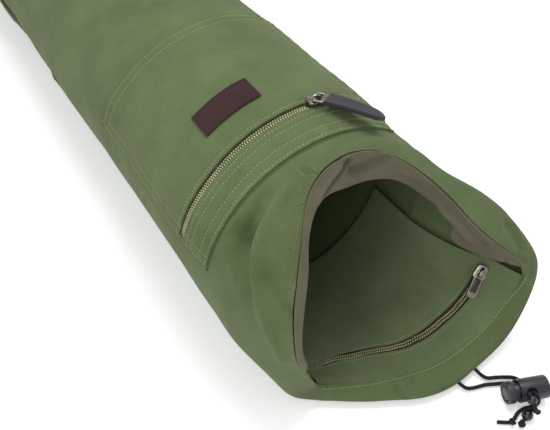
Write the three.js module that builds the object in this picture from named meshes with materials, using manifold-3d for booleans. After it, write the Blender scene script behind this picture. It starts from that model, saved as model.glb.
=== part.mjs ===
// Yoga mat bag: a canvas drawstring tube lying on its side, mouth towards -Y.
// Millimetres, +Z up. The origin is on the flat underside, half way along the bag.

import * as THREE from 'three';
import Module from 'manifold-3d';
import { mergeVertices } from 'three/addons/utils/BufferGeometryUtils.js';

const wasm = await Module();
wasm.setup();

// The filled bag and how it lies
const radius = 76;
const restFlat = 4;
const axisHeight = radius - restFlat;
const farEnd = 340;
const neck = 247;

// Cloth and clearances
const canvas = 2;
const facingCloth = 1;
const pocketCloth = 1.6;
const lightCloth = 1.2;
const tapeCloth = 1;
const teethHeight = 1.5;
const labelCloth = 0.8;
const gap = 0.4;

// End panel
const panelCloth = 2.5;
const panelSetback = 3;

// Outer pocket, in degrees round the bag and millimetres along it from the middle
const pocketLeft = -78;
const pocketRight = 37.7;
const pocketNear = neck - 1;
const pocketLength = 136;
const pocketZip = pocketNear - 25;
const slitWidth = 5.4;
const slitLeft = -75;
const slitRight = 5;
const tapeWidth = 14;
const teethWidth = 3.8;

// Label on the pocket
const labelLeft = -35.6;
const labelWidth = 36.2;
const labelNear = pocketNear - 45.8;
const labelDepth = 19;

// Zip sliders and pulls
const sliderLength = 10;
const sliderWidth = 8;
const sliderBase = 2.4;
const bridgeLength = 6.8;
const bridgeWidth = 2;
const bridgeHeight = 3;
const tunnelLength = 5.2;
const tunnelHeight = 2.1;
const linkWire = 1.5;
const linkLength = 6.2;
const linkOpening = 7.1;
const linkWidth = 9.3;
const linkSwivel = -45;
const tabLength = 31.5;
const tabWidth = 10.5;
const tabThick = 2.4;
const tabSkew = 53;
const pullerLength = 18;
const pullerWidth = 5.6;
const pullerThick = 1.5;

// Shoulder strap
const strapWidth = 25;
const strapThick = 2.5;

// Drawcord, cord lock and beads
const cordDiameter = 2.5;
const barrelLength = 17.8;
const barrelRadius = 7;
const barrelWall = 1.4;
const barrelEnd = 2;
const cordHole = 3.5;
const holePlace = 6;
const holeTilt = 40;
const capLength = 4.1;
const capRadius = 6.8;
const plungerTravel = 3;
const stemLength = 15;
const nearBead = 2.9;
const farBead = 3.3;
const beadBore = 1.95;
const knotSize = 2.4;
const knotTail = 9;
const knotTailTurn = -57;

// How fine the pieces are cut into facets
const bodyColumns = 48;
const bodyRows = 8;
const mouthColumns = 72;
const rowsPerRing = 3;
const hemRing = 3;
const roundSides = 20;
const cordSides = 8;
const cordFacet = 3;

const colours = {
  canvas: '#5f7446',
  lining: '#4f5f3c',
  facing: '#66604c',
  tape: '#6b6a4e',
  label: '#3f2c2c',
  nickel: '#b9b3a4',
  plastic: '#3b3b44',
  cord: '#24242b',
  tab: '#2c2c36',
};

const finish = (name, roughness, metalness) => (
  new THREE.MeshStandardMaterial({ color: colours[name], roughness, metalness })
);
const cloth = (name) => finish(name, 0.9, 0);
const metal = (name) => finish(name, 0.3, 1);
const plastic = (name) => finish(name, 0.5, 0);

const bag = new THREE.Group();

function addPiece(name, geometry, material, place = bag) {
  const mesh = new THREE.Mesh(geometry, material);
  mesh.name = name;
  place.add(mesh);
  return mesh;
}

// Small helpers
const radians = (angle) => angle * Math.PI / 180;
const degrees = (angle) => angle * 180 / Math.PI;
const mix = (from, to, share) => from + (to - from) * share;
const span = (from, to, steps) => Array.from({ length: steps + 1 }, (_, i) => mix(from, to, i / steps));
const vector = (x, y, z) => new THREE.Vector3(x, y, z);

// A point round the bag's axis: 0 degrees is the top, 90 the right, as seen from the mouth
function around(at, out, y, floor = 0) {
  const x = out * Math.sin(radians(at));
  const z = axisHeight + out * Math.cos(radians(at));
  return vector(x, y, Math.max(floor, z));
}

// A smooth value between the rows of a table, at a direction round the bag
function follow(rows, key, at) {
  const turn = rows.turns ? 360 : 0;
  const count = rows.length;
  const row = (i) => {
    const k = turn ? ((i % count) + count) % count : THREE.MathUtils.clamp(i, 0, count - 1);
    return { at: rows[k].at + Math.floor(i / count) * turn, value: rows[k][key] };
  };
  let angle = at;
  if (turn) angle = rows[0].at + ((at - rows[0].at) % turn + turn) % turn;
  let i = 0;
  while (i < count - (turn ? 1 : 2) && row(i + 1).at <= angle) i += 1;
  const [before, a, b, after] = [row(i - 1), row(i), row(i + 1), row(i + 2)];
  const slope = (p, q) => (q.at === p.at ? 0 : (q.value - p.value) / (q.at - p.at));
  const width = b.at - a.at;
  const t = (angle - a.at) / width;
  const [startSlope, endSlope] = [slope(before, b) * width, slope(a, after) * width];
  const [t2, t3] = [t * t, t * t * t];
  return (2 * t3 - 3 * t2 + 1) * a.value + (t3 - 2 * t2 + t) * startSlope
    + (3 * t2 - 2 * t3) * b.value + (t3 - t2) * endSlope;
}

// A closed mesh from its vertices and triangles, faces outwards
function closedMesh(points, faces) {
  const used = new Map();
  const position = [];
  const index = faces.map((k) => {
    if (!used.has(k)) {
      used.set(k, used.size);
      position.push(points[k].x, points[k].y, points[k].z);
    }
    return used.get(k);
  });
  const corner = (k) => vector(...position.slice(3 * index[k], 3 * index[k] + 3));
  let volume = 0;
  for (let k = 0; k < index.length; k += 3) volume += corner(k).dot(corner(k + 1).cross(corner(k + 2)));
  if (volume < 0) {
    for (let k = 0; k < index.length; k += 3) [index[k], index[k + 1]] = [index[k + 1], index[k]];
  }
  const geometry = new THREE.BufferGeometry();
  geometry.setAttribute('position', new THREE.Float32BufferAttribute(position, 3));
  geometry.setIndex(index);
  return geometry;
}

// A sheet of cloth with a front and a back, from two grids of points. A closed sheet joins its
// last column to its first, and skip leaves cells out as slits.
function sheet(front, back, { closed = false, skip = () => false } = {}) {
  const columns = front.length;
  const rows = front[0].length;
  const points = [...front.flat(), ...back.flat()];
  const behind = columns * rows;
  const cells = closed ? columns : columns - 1;
  const faces = [];
  const quad = (a, b, c, d) => faces.push(a, b, c, a, c, d);
  const id = (i, j) => (i % columns) * rows + j;
  const kept = (i, j) => {
    if (j < 0 || j >= rows - 1) return false;
    if (!closed && (i < 0 || i >= cells)) return false;
    return !skip((i + columns) % columns, j);
  };
  for (let i = 0; i < cells; i += 1) {
    for (let j = 0; j < rows - 1; j += 1) {
      if (!kept(i, j)) continue;
      const [a, b, c, d] = [id(i, j), id(i + 1, j), id(i + 1, j + 1), id(i, j + 1)];
      quad(a, b, c, d);
      quad(behind + a, behind + d, behind + c, behind + b);
      if (!kept(i, j - 1)) quad(a, behind + a, behind + b, b);
      if (!kept(i + 1, j)) quad(b, behind + b, behind + c, c);
      if (!kept(i, j + 1)) quad(c, behind + c, behind + d, d);
      if (!kept(i - 1, j)) quad(d, behind + d, behind + a, a);
    }
  }
  return closedMesh(points, faces);
}

// The same grid moved towards the bag's inside by a depth, along the grid's own normals
function inset(grid, depth, { closed = false, floor = 0 } = {}) {
  const columns = grid.length;
  const rows = grid[0].length;
  const column = (i) => grid[closed ? (i + columns) % columns : THREE.MathUtils.clamp(i, 0, columns - 1)];
  return grid.map((line, i) => line.map((point, j) => {
    const across = column(i + 1)[j].clone().sub(column(i - 1)[j]);
    const along = line[Math.min(j + 1, rows - 1)].clone().sub(line[Math.max(j - 1, 0)]);
    const moved = point.clone().addScaledVector(across.cross(along).normalize(), depth);
    moved.z = Math.max(moved.z, floor);
    return moved;
  }));
}

// Solids for cutting and joining
function solidOf(geometry) {
  const bare = geometry.clone();
  bare.deleteAttribute('normal');
  bare.deleteAttribute('uv');
  const merged = mergeVertices(bare, 1e-4);
  const vertProperties = new Float32Array(merged.attributes.position.array);
  const triVerts = new Uint32Array(merged.index.array);
  return new wasm.Manifold(new wasm.Mesh({ numProp: 3, vertProperties, triVerts }));
}

function geometryOf(solid) {
  const mesh = solid.getMesh();
  const geometry = new THREE.BufferGeometry();
  geometry.setAttribute('position', new THREE.BufferAttribute(new Float32Array(mesh.vertProperties), 3));
  geometry.setIndex(new THREE.BufferAttribute(new Uint32Array(mesh.triVerts), 1));
  return geometry;
}

const joined = (first, ...rest) => (
  geometryOf(rest.map(solidOf).reduce((all, one) => all.add(one), solidOf(first)))
);
const cutBy = (geometry, ...tools) => (
  geometryOf(tools.map(solidOf).reduce((left, tool) => left.subtract(tool), solidOf(geometry)))
);

// Body tube: round canvas, flat where it rests
const roundBody = span(0, 360, bodyColumns).slice(0, -1);
const bodyGrid = (out, floor) => roundBody.map((at) => (
  span(-neck, farEnd, bodyRows).map((y) => around(at, out, y, floor))
));
addPiece(
  'body_tube',
  sheet(bodyGrid(radius, 0), bodyGrid(radius - canvas, canvas), { closed: true }),
  cloth('canvas'),
);

// End panel: a round of canvas set into the tube's far end
const panelOutline = new THREE.Shape(roundBody.map((at) => {
  const edge = around(at, radius - canvas - gap, 0, canvas + gap);
  return new THREE.Vector2(edge.x, edge.z);
}));
const endPanel = new THREE.ExtrudeGeometry(panelOutline, { depth: panelCloth, bevelEnabled: false });
endPanel.rotateX(Math.PI / 2);
endPanel.translate(0, farEnd - panelSetback, 0);
addPiece('end_panel', endPanel, cloth('canvas'));

// Mouth collar. Each row is one direction round the mouth, in degrees. The rest are shares of the
// radius: how far out the hollow behind the fold, the fold itself and the stitched hem lie, and
// how far ahead of the neck the fold and the hem reach.
const mouth = [
  { at: 0, hollow: 1.00, fold: 1.01, foldAhead: 0.12, hem: 1.01, hemAhead: 0.20 },
  { at: 15, hollow: 1.00, fold: 1.01, foldAhead: 0.13, hem: 0.98, hemAhead: 0.20 },
  { at: 30, hollow: 1.00, fold: 1.01, foldAhead: 0.17, hem: 0.94, hemAhead: 0.29 },
  { at: 45, hollow: 1.00, fold: 1.01, foldAhead: 0.24, hem: 0.92, hemAhead: 0.43 },
  { at: 58, hollow: 1.01, fold: 1.04, foldAhead: 0.38, hem: 0.92, hemAhead: 0.54 },
  { at: 72, hollow: 1.05, fold: 1.19, foldAhead: 0.55, hem: 0.95, hemAhead: 0.66 },
  { at: 84, hollow: 1.10, fold: 1.35, foldAhead: 0.68, hem: 1.06, hemAhead: 0.76 },
  { at: 93, hollow: 1.14, fold: 1.48, foldAhead: 0.80, hem: 1.22, hemAhead: 0.86 },
  { at: 101, hollow: 1.17, fold: 1.61, foldAhead: 0.91, hem: 1.42, hemAhead: 0.95 },
  { at: 108, hollow: 1.17, fold: 1.62, foldAhead: 0.99, hem: 1.42, hemAhead: 0.96 },
  { at: 116, hollow: 1.15, fold: 1.50, foldAhead: 1.10, hem: 1.34, hemAhead: 0.96 },
  { at: 126, hollow: 1.12, fold: 1.37, foldAhead: 1.18, hem: 1.20, hemAhead: 1.01 },
  { at: 138, hollow: 1.06, fold: 1.19, foldAhead: 1.22, hem: 1.05, hemAhead: 1.03 },
  { at: 150, hollow: 1.00, fold: 1.02, foldAhead: 1.26, hem: 0.93, hemAhead: 1.03 },
  { at: 165, hollow: 1.00, fold: 0.91, foldAhead: 1.22, hem: 0.84, hemAhead: 0.98 },
  { at: 180, hollow: 1.00, fold: 0.88, foldAhead: 1.10, hem: 0.81, hemAhead: 0.92 },
  { at: 195, hollow: 1.00, fold: 0.91, foldAhead: 0.97, hem: 0.84, hemAhead: 0.82 },
  { at: 205, hollow: 1.00, fold: 0.97, foldAhead: 0.85, hem: 0.87, hemAhead: 0.76 },
  { at: 214, hollow: 1.00, fold: 1.05, foldAhead: 0.73, hem: 0.86, hemAhead: 0.75 },
  { at: 222, hollow: 1.00, fold: 1.04, foldAhead: 0.70, hem: 0.80, hemAhead: 0.78 },
  { at: 235, hollow: 1.00, fold: 0.95, foldAhead: 0.68, hem: 0.74, hemAhead: 0.80 },
  { at: 250, hollow: 1.00, fold: 0.89, foldAhead: 0.67, hem: 0.72, hemAhead: 0.81 },
  { at: 265, hollow: 0.99, fold: 0.88, foldAhead: 0.63, hem: 0.74, hemAhead: 0.80 },
  { at: 280, hollow: 0.97, fold: 0.90, foldAhead: 0.59, hem: 0.76, hemAhead: 0.78 },
  { at: 298, hollow: 0.95, fold: 0.99, foldAhead: 0.50, hem: 0.80, hemAhead: 0.70 },
  { at: 312, hollow: 0.95, fold: 1.05, foldAhead: 0.36, hem: 0.83, hemAhead: 0.60 },
  { at: 326, hollow: 0.97, fold: 1.03, foldAhead: 0.25, hem: 0.88, hemAhead: 0.46 },
  { at: 340, hollow: 1.00, fold: 1.02, foldAhead: 0.17, hem: 0.96, hemAhead: 0.28 },
  { at: 350, hollow: 1.00, fold: 1.01, foldAhead: 0.13, hem: 1.00, hemAhead: 0.22 },
];
mouth.turns = true;

const ahead = (share) => -(neck + share * radius);

// The collar's outer side: ring 0 is the neck, 1 the hollow, 2 the fold and 3 the hem
const rings = [
  (at) => around(at, radius, -neck - gap + radius / 4),
  (at) => around(at, radius, -neck - gap),
  (at) => around(at, follow(mouth, 'hollow', at) * radius, ahead(follow(mouth, 'foldAhead', at) / 2)),
  (at) => around(at, follow(mouth, 'fold', at) * radius, ahead(follow(mouth, 'foldAhead', at))),
  (at) => around(at, follow(mouth, 'hem', at) * radius, ahead(follow(mouth, 'hemAhead', at))),
];
const collarLines = new Map();
function collarPoint(at, ring) {
  if (!collarLines.has(at)) {
    collarLines.set(at, new THREE.CatmullRomCurve3(rings.map((point) => point(at))));
  }
  const point = collarLines.get(at).getPoint((ring + 1) / (rings.length - 1));
  point.z = Math.max(point.z, 0);
  return point;
}

const roundMouth = span(0, 360, mouthColumns).slice(0, -1);
const collarGrid = roundMouth.map((at) => (
  span(0, hemRing, hemRing * rowsPerRing).map((ring) => collarPoint(at, ring))
));
const collarInside = inset(collarGrid, canvas, { closed: true, floor: canvas });
collarInside.forEach((line, i) => { line[0].y = collarGrid[i][0].y; });
addPiece('mouth_collar', sheet(collarGrid, collarInside, { closed: true }), cloth('canvas'));

// Mouth facing: the olive cloth behind the hem. It droops from the hem to a lower edge, at a share
// of the radius from the axis, and goes back up into the bag.
const facingRows = [
  { at: -110, edge: 0.66, edgeAhead: 0.78 },
  { at: -85, edge: 0.65, edgeAhead: 0.74 },
  { at: -62, edge: 0.62, edgeAhead: 0.62 },
  { at: -45, edge: 0.70, edgeAhead: 0.57 },
  { at: -30, edge: 0.82, edgeAhead: 0.44 },
  { at: -17, edge: 0.80, edgeAhead: 0.30 },
  { at: 5, edge: 0.66, edgeAhead: 0.20 },
  { at: 25, edge: 0.65, edgeAhead: 0.15 },
  { at: 40, edge: 0.71, edgeAhead: 0.16 },
  { at: 52, edge: 0.75, edgeAhead: 0.22 },
  { at: 67, edge: 0.79, edgeAhead: 0.33 },
  { at: 85, edge: 0.91, edgeAhead: 0.52 },
  { at: 96, edge: 1.08, edgeAhead: 0.72 },
  { at: 101, edge: 1.22, edgeAhead: 0.80 },
];
const facingBack = 0.88;
const facingDepth = 30;
const facingLeft = -110;
const facingRight = 100;
const facingRowCount = 6;
const facingAround = span(facingLeft, facingRight, (facingRight - facingLeft) * mouthColumns / 360);
const facingGrid = facingAround.map((at) => {
  const i = (at * mouthColumns / 360 + mouthColumns) % mouthColumns;
  const [hem, under] = [collarGrid[i].at(-1), collarInside[i].at(-1)];
  const edgeAhead = follow(facingRows, 'edgeAhead', at);
  const edge = around(at, follow(facingRows, 'edge', at) * radius, ahead(edgeAhead));
  const back = around(at, facingBack * radius, edge.y + facingDepth);
  const sideways = around(at + 90, 1, 0).sub(around(at + 90, 0, 0));
  const outward = sideways.cross(edge.clone().sub(hem)).normalize();
  const spare = Math.min(0, under.clone().sub(hem).dot(outward)) - facingCloth - 2 * gap;
  const start = hem.clone().addScaledVector(outward, spare);
  return new THREE.CatmullRomCurve3([start, edge, back]).getPoints(facingRowCount);
});
addPiece('mouth_facing', sheet(facingGrid, inset(facingGrid, facingCloth)), cloth('facing'));

// Inner pocket: a canvas panel laid inside the lower lip and sewn under the hem, with a slit for
// its zip. The slit runs along the collar's rings, at the ring that each row of the table gives.
const slitRows = [
  { at: 104, ring: 1.25 },
  { at: 125, ring: 1.20 },
  { at: 147, ring: 1.19 },
  { at: 168, ring: 1.10 },
  { at: 190, ring: 1.06 },
  { at: 205, ring: 1.18 },
];
const innerFrom = 105;
const innerTo = 210;
const innerSlitFrom = 110;
const innerSlitTo = 200;
const slitHalf = 0.05;
const tapeHalf = 0.14;
const teethHalf = 0.028;
const teethFoot = 0.036;
const innerReach = 32;
const tapeDepth = canvas + 3 * gap;
const panelDepth = tapeDepth + tapeCloth + 2 * gap;
const slitRing = (at) => follow(slitRows, 'ring', at);

// A point on a layer inside the collar, so many millimetres in from the canvas's outer side
function layerPoint(at, ring, depth) {
  const layer = inset(collarGrid, depth, { closed: true, floor: depth });
  const [column, row] = [at * mouthColumns / 360, ring * rowsPerRing];
  const [i, j] = [Math.floor(column), Math.min(Math.floor(row), hemRing * rowsPerRing - 1)];
  const line = (k) => layer[k][j].clone().lerp(layer[k][j + 1], row - j);
  return line(i).lerp(line(i + 1), column - i);
}

const innerColumns = span(innerFrom, innerTo, (innerTo - innerFrom) * mouthColumns / 360);
const innerRings = [1, 2 / 3, 1 / 3, 0];
const innerGrid = (front) => innerColumns.map((at) => {
  const depth = front ? panelDepth + lightCloth : panelDepth;
  const i = at * mouthColumns / 360;
  const [hem, under] = [collarGrid[i].at(-1), collarInside[i].at(-1)];
  const leaving = hem.clone().sub(collarPoint(at, hemRing - 0.1)).normalize();
  const edge = hem.clone().addScaledVector(leaving, 2 * gap);
  if (!front) edge.addScaledVector(under.clone().sub(hem).normalize(), lightCloth);
  const laid = [4 / 3, slitRing(at) + slitHalf, slitRing(at) - slitHalf, ...innerRings];
  const inTube = around(at, radius - depth, innerReach - neck, depth);
  return [edge, ...laid.map((ring) => layerPoint(at, ring, depth)), inTube];
});
const slitRow = 2;
const inInnerSlit = (i, j) => (
  j === slitRow && innerColumns[i] >= innerSlitFrom && innerColumns[i] < innerSlitTo
);
addPiece(
  'inner_pocket',
  sheet(innerGrid(true), innerGrid(false), { skip: inInnerSlit }),
  cloth('lining'),
);

// Inner zip: a tape behind the slit with its row of teeth standing up in it
const column = 360 / mouthColumns;
const slitEnd = 1.5;
const innerTapeColumns = [
  innerFrom, innerSlitFrom, innerSlitFrom + slitEnd,
  ...span(innerSlitFrom + column, innerSlitTo - column, (innerSlitTo - innerSlitFrom) / column - 2),
  innerSlitTo - slitEnd, innerSlitTo, innerSlitTo + column,
];
const innerTape = (raised) => innerTapeColumns.map((at) => {
  const inSlit = at > innerSlitFrom && at < innerSlitTo;
  const half = [tapeHalf, teethFoot, teethHalf];
  return [...half, ...half.map((offset) => -offset).reverse()].map((offset) => {
    const teeth = raised && inSlit && Math.abs(offset) <= teethHalf ? teethHeight : 0;
    return layerPoint(at, slitRing(at) + offset, tapeDepth + (raised ? tapeCloth : 0) + teeth);
  });
});
addPiece('inner_zip_tape', sheet(innerTape(true), innerTape(false)), cloth('tape'));

// Outer pocket: a patch on top of the tube. It stands a little proud from its zip to its near edge.
const tapeTop = radius + gap + tapeCloth;
const pocketFar = pocketNear - pocketLength;
const pocketLift = tapeCloth + 1.5 * gap;
function pocketBack(y) {
  const share = THREE.MathUtils.smoothstep(-y, pocketFar, pocketZip - tapeWidth);
  return radius + gap + pocketLift * share;
}
const pocketColumns = [
  ...span(pocketLeft, slitLeft, 1),
  ...span(slitLeft, slitRight, 20).slice(1),
  ...span(slitRight, pocketRight, 7).slice(1),
];
const pocketRows = [
  ...span(pocketNear, pocketZip + slitWidth / 2, 2),
  ...span(pocketZip - slitWidth / 2, pocketFar, 6),
];
const pocketGrid = (thick) => pocketColumns.map((at) => (
  pocketRows.map((place) => around(at, pocketBack(-place) + thick, -place))
));
const inOuterSlit = (i, j) => (
  pocketRows[j] === pocketZip + slitWidth / 2
    && pocketColumns[i] >= slitLeft
    && pocketColumns[i] < slitRight
);
addPiece(
  'outer_pocket',
  sheet(pocketGrid(pocketCloth), pocketGrid(0), { skip: inOuterSlit }),
  cloth('canvas'),
);

// Outer zip tape with its teeth
const outerTapeColumns = [
  slitLeft - 2, slitLeft + 0.4, ...span(slitLeft + 1, slitRight - 1, 20), slitRight - 0.4, slitRight + 2,
];
const outerTape = (raised) => outerTapeColumns.map((at) => {
  const inSlit = at > slitLeft + 0.5 && at < slitRight - 0.5;
  const rows = [tapeWidth / 2, teethWidth / 2 + gap, teethWidth / 2];
  return [...rows, ...rows.map((offset) => -offset).reverse()].map((offset) => {
    const teeth = raised && inSlit && Math.abs(offset) <= teethWidth / 2 ? teethHeight : 0;
    return around(at, radius + gap + (raised ? tapeCloth + teeth : 0), -pocketZip - offset);
  });
});
addPiece('outer_zip_tape', sheet(outerTape(true), outerTape(false)), cloth('tape'));

// Label: a woven patch on the pocket
const labelColumns = span(labelLeft, labelLeft + degrees(labelWidth / radius), 8);
const labelGrid = (thick) => labelColumns.map((at) => (
  span(labelNear, labelNear - labelDepth, 2).map((place) => (
    around(at, pocketBack(-place) + pocketCloth + gap + thick, -place)
  ))
));
addPiece('label', sheet(labelGrid(labelCloth), labelGrid(0)), cloth('label'));

// Zip sliders. Each stands in a frame of its own: X along the zip, Z away from the cloth.
function box(length, width, height, x, y, bottom) {
  const geometry = new THREE.BoxGeometry(length, width, height);
  geometry.translate(x, y, bottom + height / 2);
  return geometry;
}
const barHeight = sliderBase + tunnelHeight / 2;
const sliderBody = () => cutBy(
  joined(
    box(sliderLength, sliderWidth, sliderBase, 0, 0, 0),
    box(bridgeLength, bridgeWidth, bridgeHeight + gap, 0, 0, sliderBase - gap),
  ),
  box(tunnelLength, sliderWidth, tunnelHeight, 0, 0, sliderBase),
);

function frameAt(origin, alongZip, away) {
  const z = away.clone().normalize();
  const x = alongZip.clone().addScaledVector(z, -alongZip.dot(z)).normalize();
  const place = new THREE.Group();
  place.matrix.makeBasis(x, z.clone().cross(x), z).setPosition(origin);
  place.matrix.decompose(place.position, place.quaternion, place.scale);
  bag.add(place);
  return place;
}

// A flat ring or plate whose first bar lies in the slider's tunnel
function pull(length, width, opening, hole, thick, corner) {
  const outline = new THREE.Shape();
  const [start, end, half] = [-linkWire / 2, length - linkWire / 2, width / 2];
  outline.moveTo(start, -half);
  outline.lineTo(end - corner, -half);
  outline.absarc(end - corner, corner - half, corner, -Math.PI / 2, 0);
  outline.absarc(end - corner, half - corner, corner, 0, Math.PI / 2);
  outline.lineTo(start, half);
  const inside = new THREE.Path();
  inside.moveTo(linkWire / 2, -opening / 2);
  inside.lineTo(hole, -opening / 2);
  inside.lineTo(hole, opening / 2);
  inside.lineTo(linkWire / 2, opening / 2);
  outline.holes.push(inside);
  const settings = { depth: thick, bevelEnabled: false, curveSegments: 3 };
  const geometry = new THREE.ExtrudeGeometry(outline, settings);
  geometry.translate(0, 0, barHeight - thick / 2);
  return geometry;
}

const outerSliderAt = 7;
const zipTop = pocketBack(-pocketZip) + pocketCloth + gap;
const outerFrame = frameAt(
  around(outerSliderAt, zipTop, -pocketZip),
  around(outerSliderAt + 90, 1, 0).sub(around(0, 0, 0)),
  around(outerSliderAt, 1, 0).sub(around(0, 0, 0)),
);
addPiece('outer_zip_slider', sliderBody(), metal('nickel'), outerFrame);
const linkFrame = new THREE.Group();
linkFrame.rotateZ(radians(linkSwivel));
outerFrame.add(linkFrame);
addPiece(
  'outer_pull_link',
  pull(linkLength, linkWidth, linkOpening, linkLength - 1.5 * linkWire, linkWire, linkWire),
  metal('nickel'),
  linkFrame,
);

// Pull tab: a stitched tab that starts at the link and lies askew over the pocket
const tabRoot = linkLength - linkWire / 2 + 2.5 * gap;
const tabFloor = zipTop + sliderBase + gap;
const tabSteps = 8;
const tabRise = 1.5;
const tabTip = 0.3;
const tabGrid = (thick) => span(0, tabLength, tabSteps).map((reach) => {
  const left = tabLength - reach;
  const round = Math.min(1, Math.sqrt(Math.max(tabTip, left / (tabWidth / 2))));
  const lift = tabFloor + thick + tabRise * Math.sin(Math.PI * reach / tabLength / 2);
  return [-0.5, 0, 0.5].map((across) => {
    const side = across * tabWidth * round;
    const [swivel, skew] = [radians(linkSwivel), -radians(tabSkew)];
    const arc = tabRoot * Math.cos(swivel) + reach * Math.cos(skew) - side * Math.sin(skew);
    const drop = tabRoot * Math.sin(swivel) + reach * Math.sin(skew) + side * Math.cos(skew);
    return around(outerSliderAt + degrees(arc / zipTop), lift, -pocketZip + drop);
  });
});
addPiece('outer_pull_tab', sheet(tabGrid(tabThick), tabGrid(0)), cloth('tab'));

// Inner zip slider and puller
const innerSliderAt = 111;
const pullerOpening = bridgeWidth + 4 * gap;
const pullerHole = bridgeLength / 2 + 3 * gap;
const innerSliderRing = slitRing(innerSliderAt);
const innerPlace = layerPoint(innerSliderAt, innerSliderRing, panelDepth + lightCloth + 3 * gap);
const alongInnerZip = layerPoint(innerSliderAt + 3, slitRing(innerSliderAt + 3), panelDepth)
  .sub(layerPoint(innerSliderAt - 3, slitRing(innerSliderAt - 3), panelDepth));
const innerFrame = frameAt(
  innerPlace,
  alongInnerZip,
  innerPlace.clone().sub(layerPoint(innerSliderAt, innerSliderRing, 0)),
);
addPiece('inner_zip_slider', sliderBody(), metal('nickel'), innerFrame);
addPiece(
  'inner_zip_puller',
  pull(pullerLength, pullerWidth, pullerOpening, pullerHole, pullerThick, pullerWidth / 2 - 0.01),
  metal('nickel'),
  innerFrame,
);

// Shoulder strap. Each row is a station along the strap: its place as a share of the half length,
// its centre across and above the floor as shares of the radius, and its tilt in degrees.
const strapRows = [
  { along: -0.705, x: -0.602, z: 0.116, tilt: -36 },
  { along: -0.66, x: -0.602, z: 0.114, tilt: -36 },
  { along: -0.59, x: -0.600, z: 0.050, tilt: -14 },
  { along: -0.51, x: -0.598, z: 0.017, tilt: 0 },
  { along: -0.15, x: -0.596, z: 0.017, tilt: 0 },
  { along: 0.16, x: -0.604, z: 0.017, tilt: 0 },
  { along: 0.32, x: -0.680, z: 0.065, tilt: -13 },
  { along: 0.45, x: -0.868, z: 0.290, tilt: -40 },
  { along: 0.56, x: -0.962, z: 0.575, tilt: -66 },
  { along: 0.98, x: -0.962, z: 0.585, tilt: -68 },
];
const strapColumns = 36;
const strapCurve = new THREE.CatmullRomCurve3(strapRows.map(({ along, x, z }) => (
  vector(x * radius, along * farEnd, z * radius)
)));
const strapGrid = (side) => span(0, 1, strapColumns).map((t) => {
  const centre = strapCurve.getPoint(t);
  const row = Math.min(Math.floor(t * (strapRows.length - 1)), strapRows.length - 2);
  const share = THREE.MathUtils.smoothstep(t * (strapRows.length - 1) - row, 0, 1);
  const tilt = radians(mix(strapRows[row].tilt, strapRows[row + 1].tilt, share));
  const middle = Math.max(centre.z, strapThick / 2);
  return [-0.5, 0.5].map((across) => {
    const x = centre.x + across * strapWidth * Math.cos(tilt) + side * strapThick / 2 * Math.sin(tilt);
    const z = middle + across * strapWidth * Math.sin(tilt) - side * strapThick / 2 * Math.cos(tilt);
    return vector(x, centre.y, Math.max(z, side > 0 ? 0 : strapThick));
  });
});
addPiece('shoulder_strap', sheet(strapGrid(-1), strapGrid(1)), cloth('canvas'));

// A point so far to the right, so far beyond the neck and so far above the floor
const beyondNeck = (x, reach, z) => vector(x, -neck - reach, z);

// Cord lock: a barrel lying on the floor in front of the lip, with a sprung plunger
const lockCap = beyondNeck(59.9, 114.5, barrelRadius + gap / 2);
const lockAlong = vector(0.936, -0.351, 0).normalize();
const lockAcross = vector(-0.351, -0.936, 0).normalize();
const holeAlong = lockAcross.clone().multiplyScalar(Math.cos(radians(holeTilt)));
holeAlong.z = Math.sin(radians(holeTilt));
const neckLength = plungerTravel + gap;
const holeFromCap = capLength + neckLength + holePlace;
const holeCentre = lockCap.clone().addScaledVector(lockAlong, holeFromCap);
const lockFrame = frameAt(lockCap, lockAlong, holeAlong);

function rod(rodRadius, from, to, sides = roundSides) {
  const geometry = new THREE.CylinderGeometry(rodRadius, rodRadius, to - from, sides);
  geometry.rotateZ(-Math.PI / 2);
  geometry.translate((from + to) / 2, 0, 0);
  return geometry;
}
const barrelFrom = capLength + neckLength;
const barrelTo = barrelFrom + barrelLength;
const crossHole = new THREE.CylinderGeometry(cordHole, cordHole, 3 * barrelRadius, 12);
crossHole.rotateX(Math.PI / 2);
crossHole.translate(holeFromCap, 0, 0);
addPiece(
  'cord_lock_barrel',
  cutBy(
    rod(barrelRadius, barrelFrom, barrelTo),
    rod(barrelRadius - barrelWall, barrelFrom - 1, barrelTo - barrelEnd),
    crossHole,
  ),
  plastic('plastic'),
  lockFrame,
);
const stemRadius = barrelRadius - barrelWall - gap;
const slotFrom = holeFromCap - cordDiameter - plungerTravel - 2 * gap;
const slotTo = holeFromCap + cordDiameter + 2 * gap;
const slotMiddle = (slotFrom + slotTo) / 2;
const slotDepth = 3 * barrelRadius;
addPiece(
  'cord_lock_plunger',
  cutBy(
    joined(rod(capRadius, 0, capLength), rod(stemRadius, capLength - 1, capLength + stemLength)),
    box(slotTo - slotFrom, cordDiameter + 4 * gap, slotDepth, slotMiddle, 0, -slotDepth / 2),
  ),
  plastic('plastic'),
  lockFrame,
);

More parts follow.
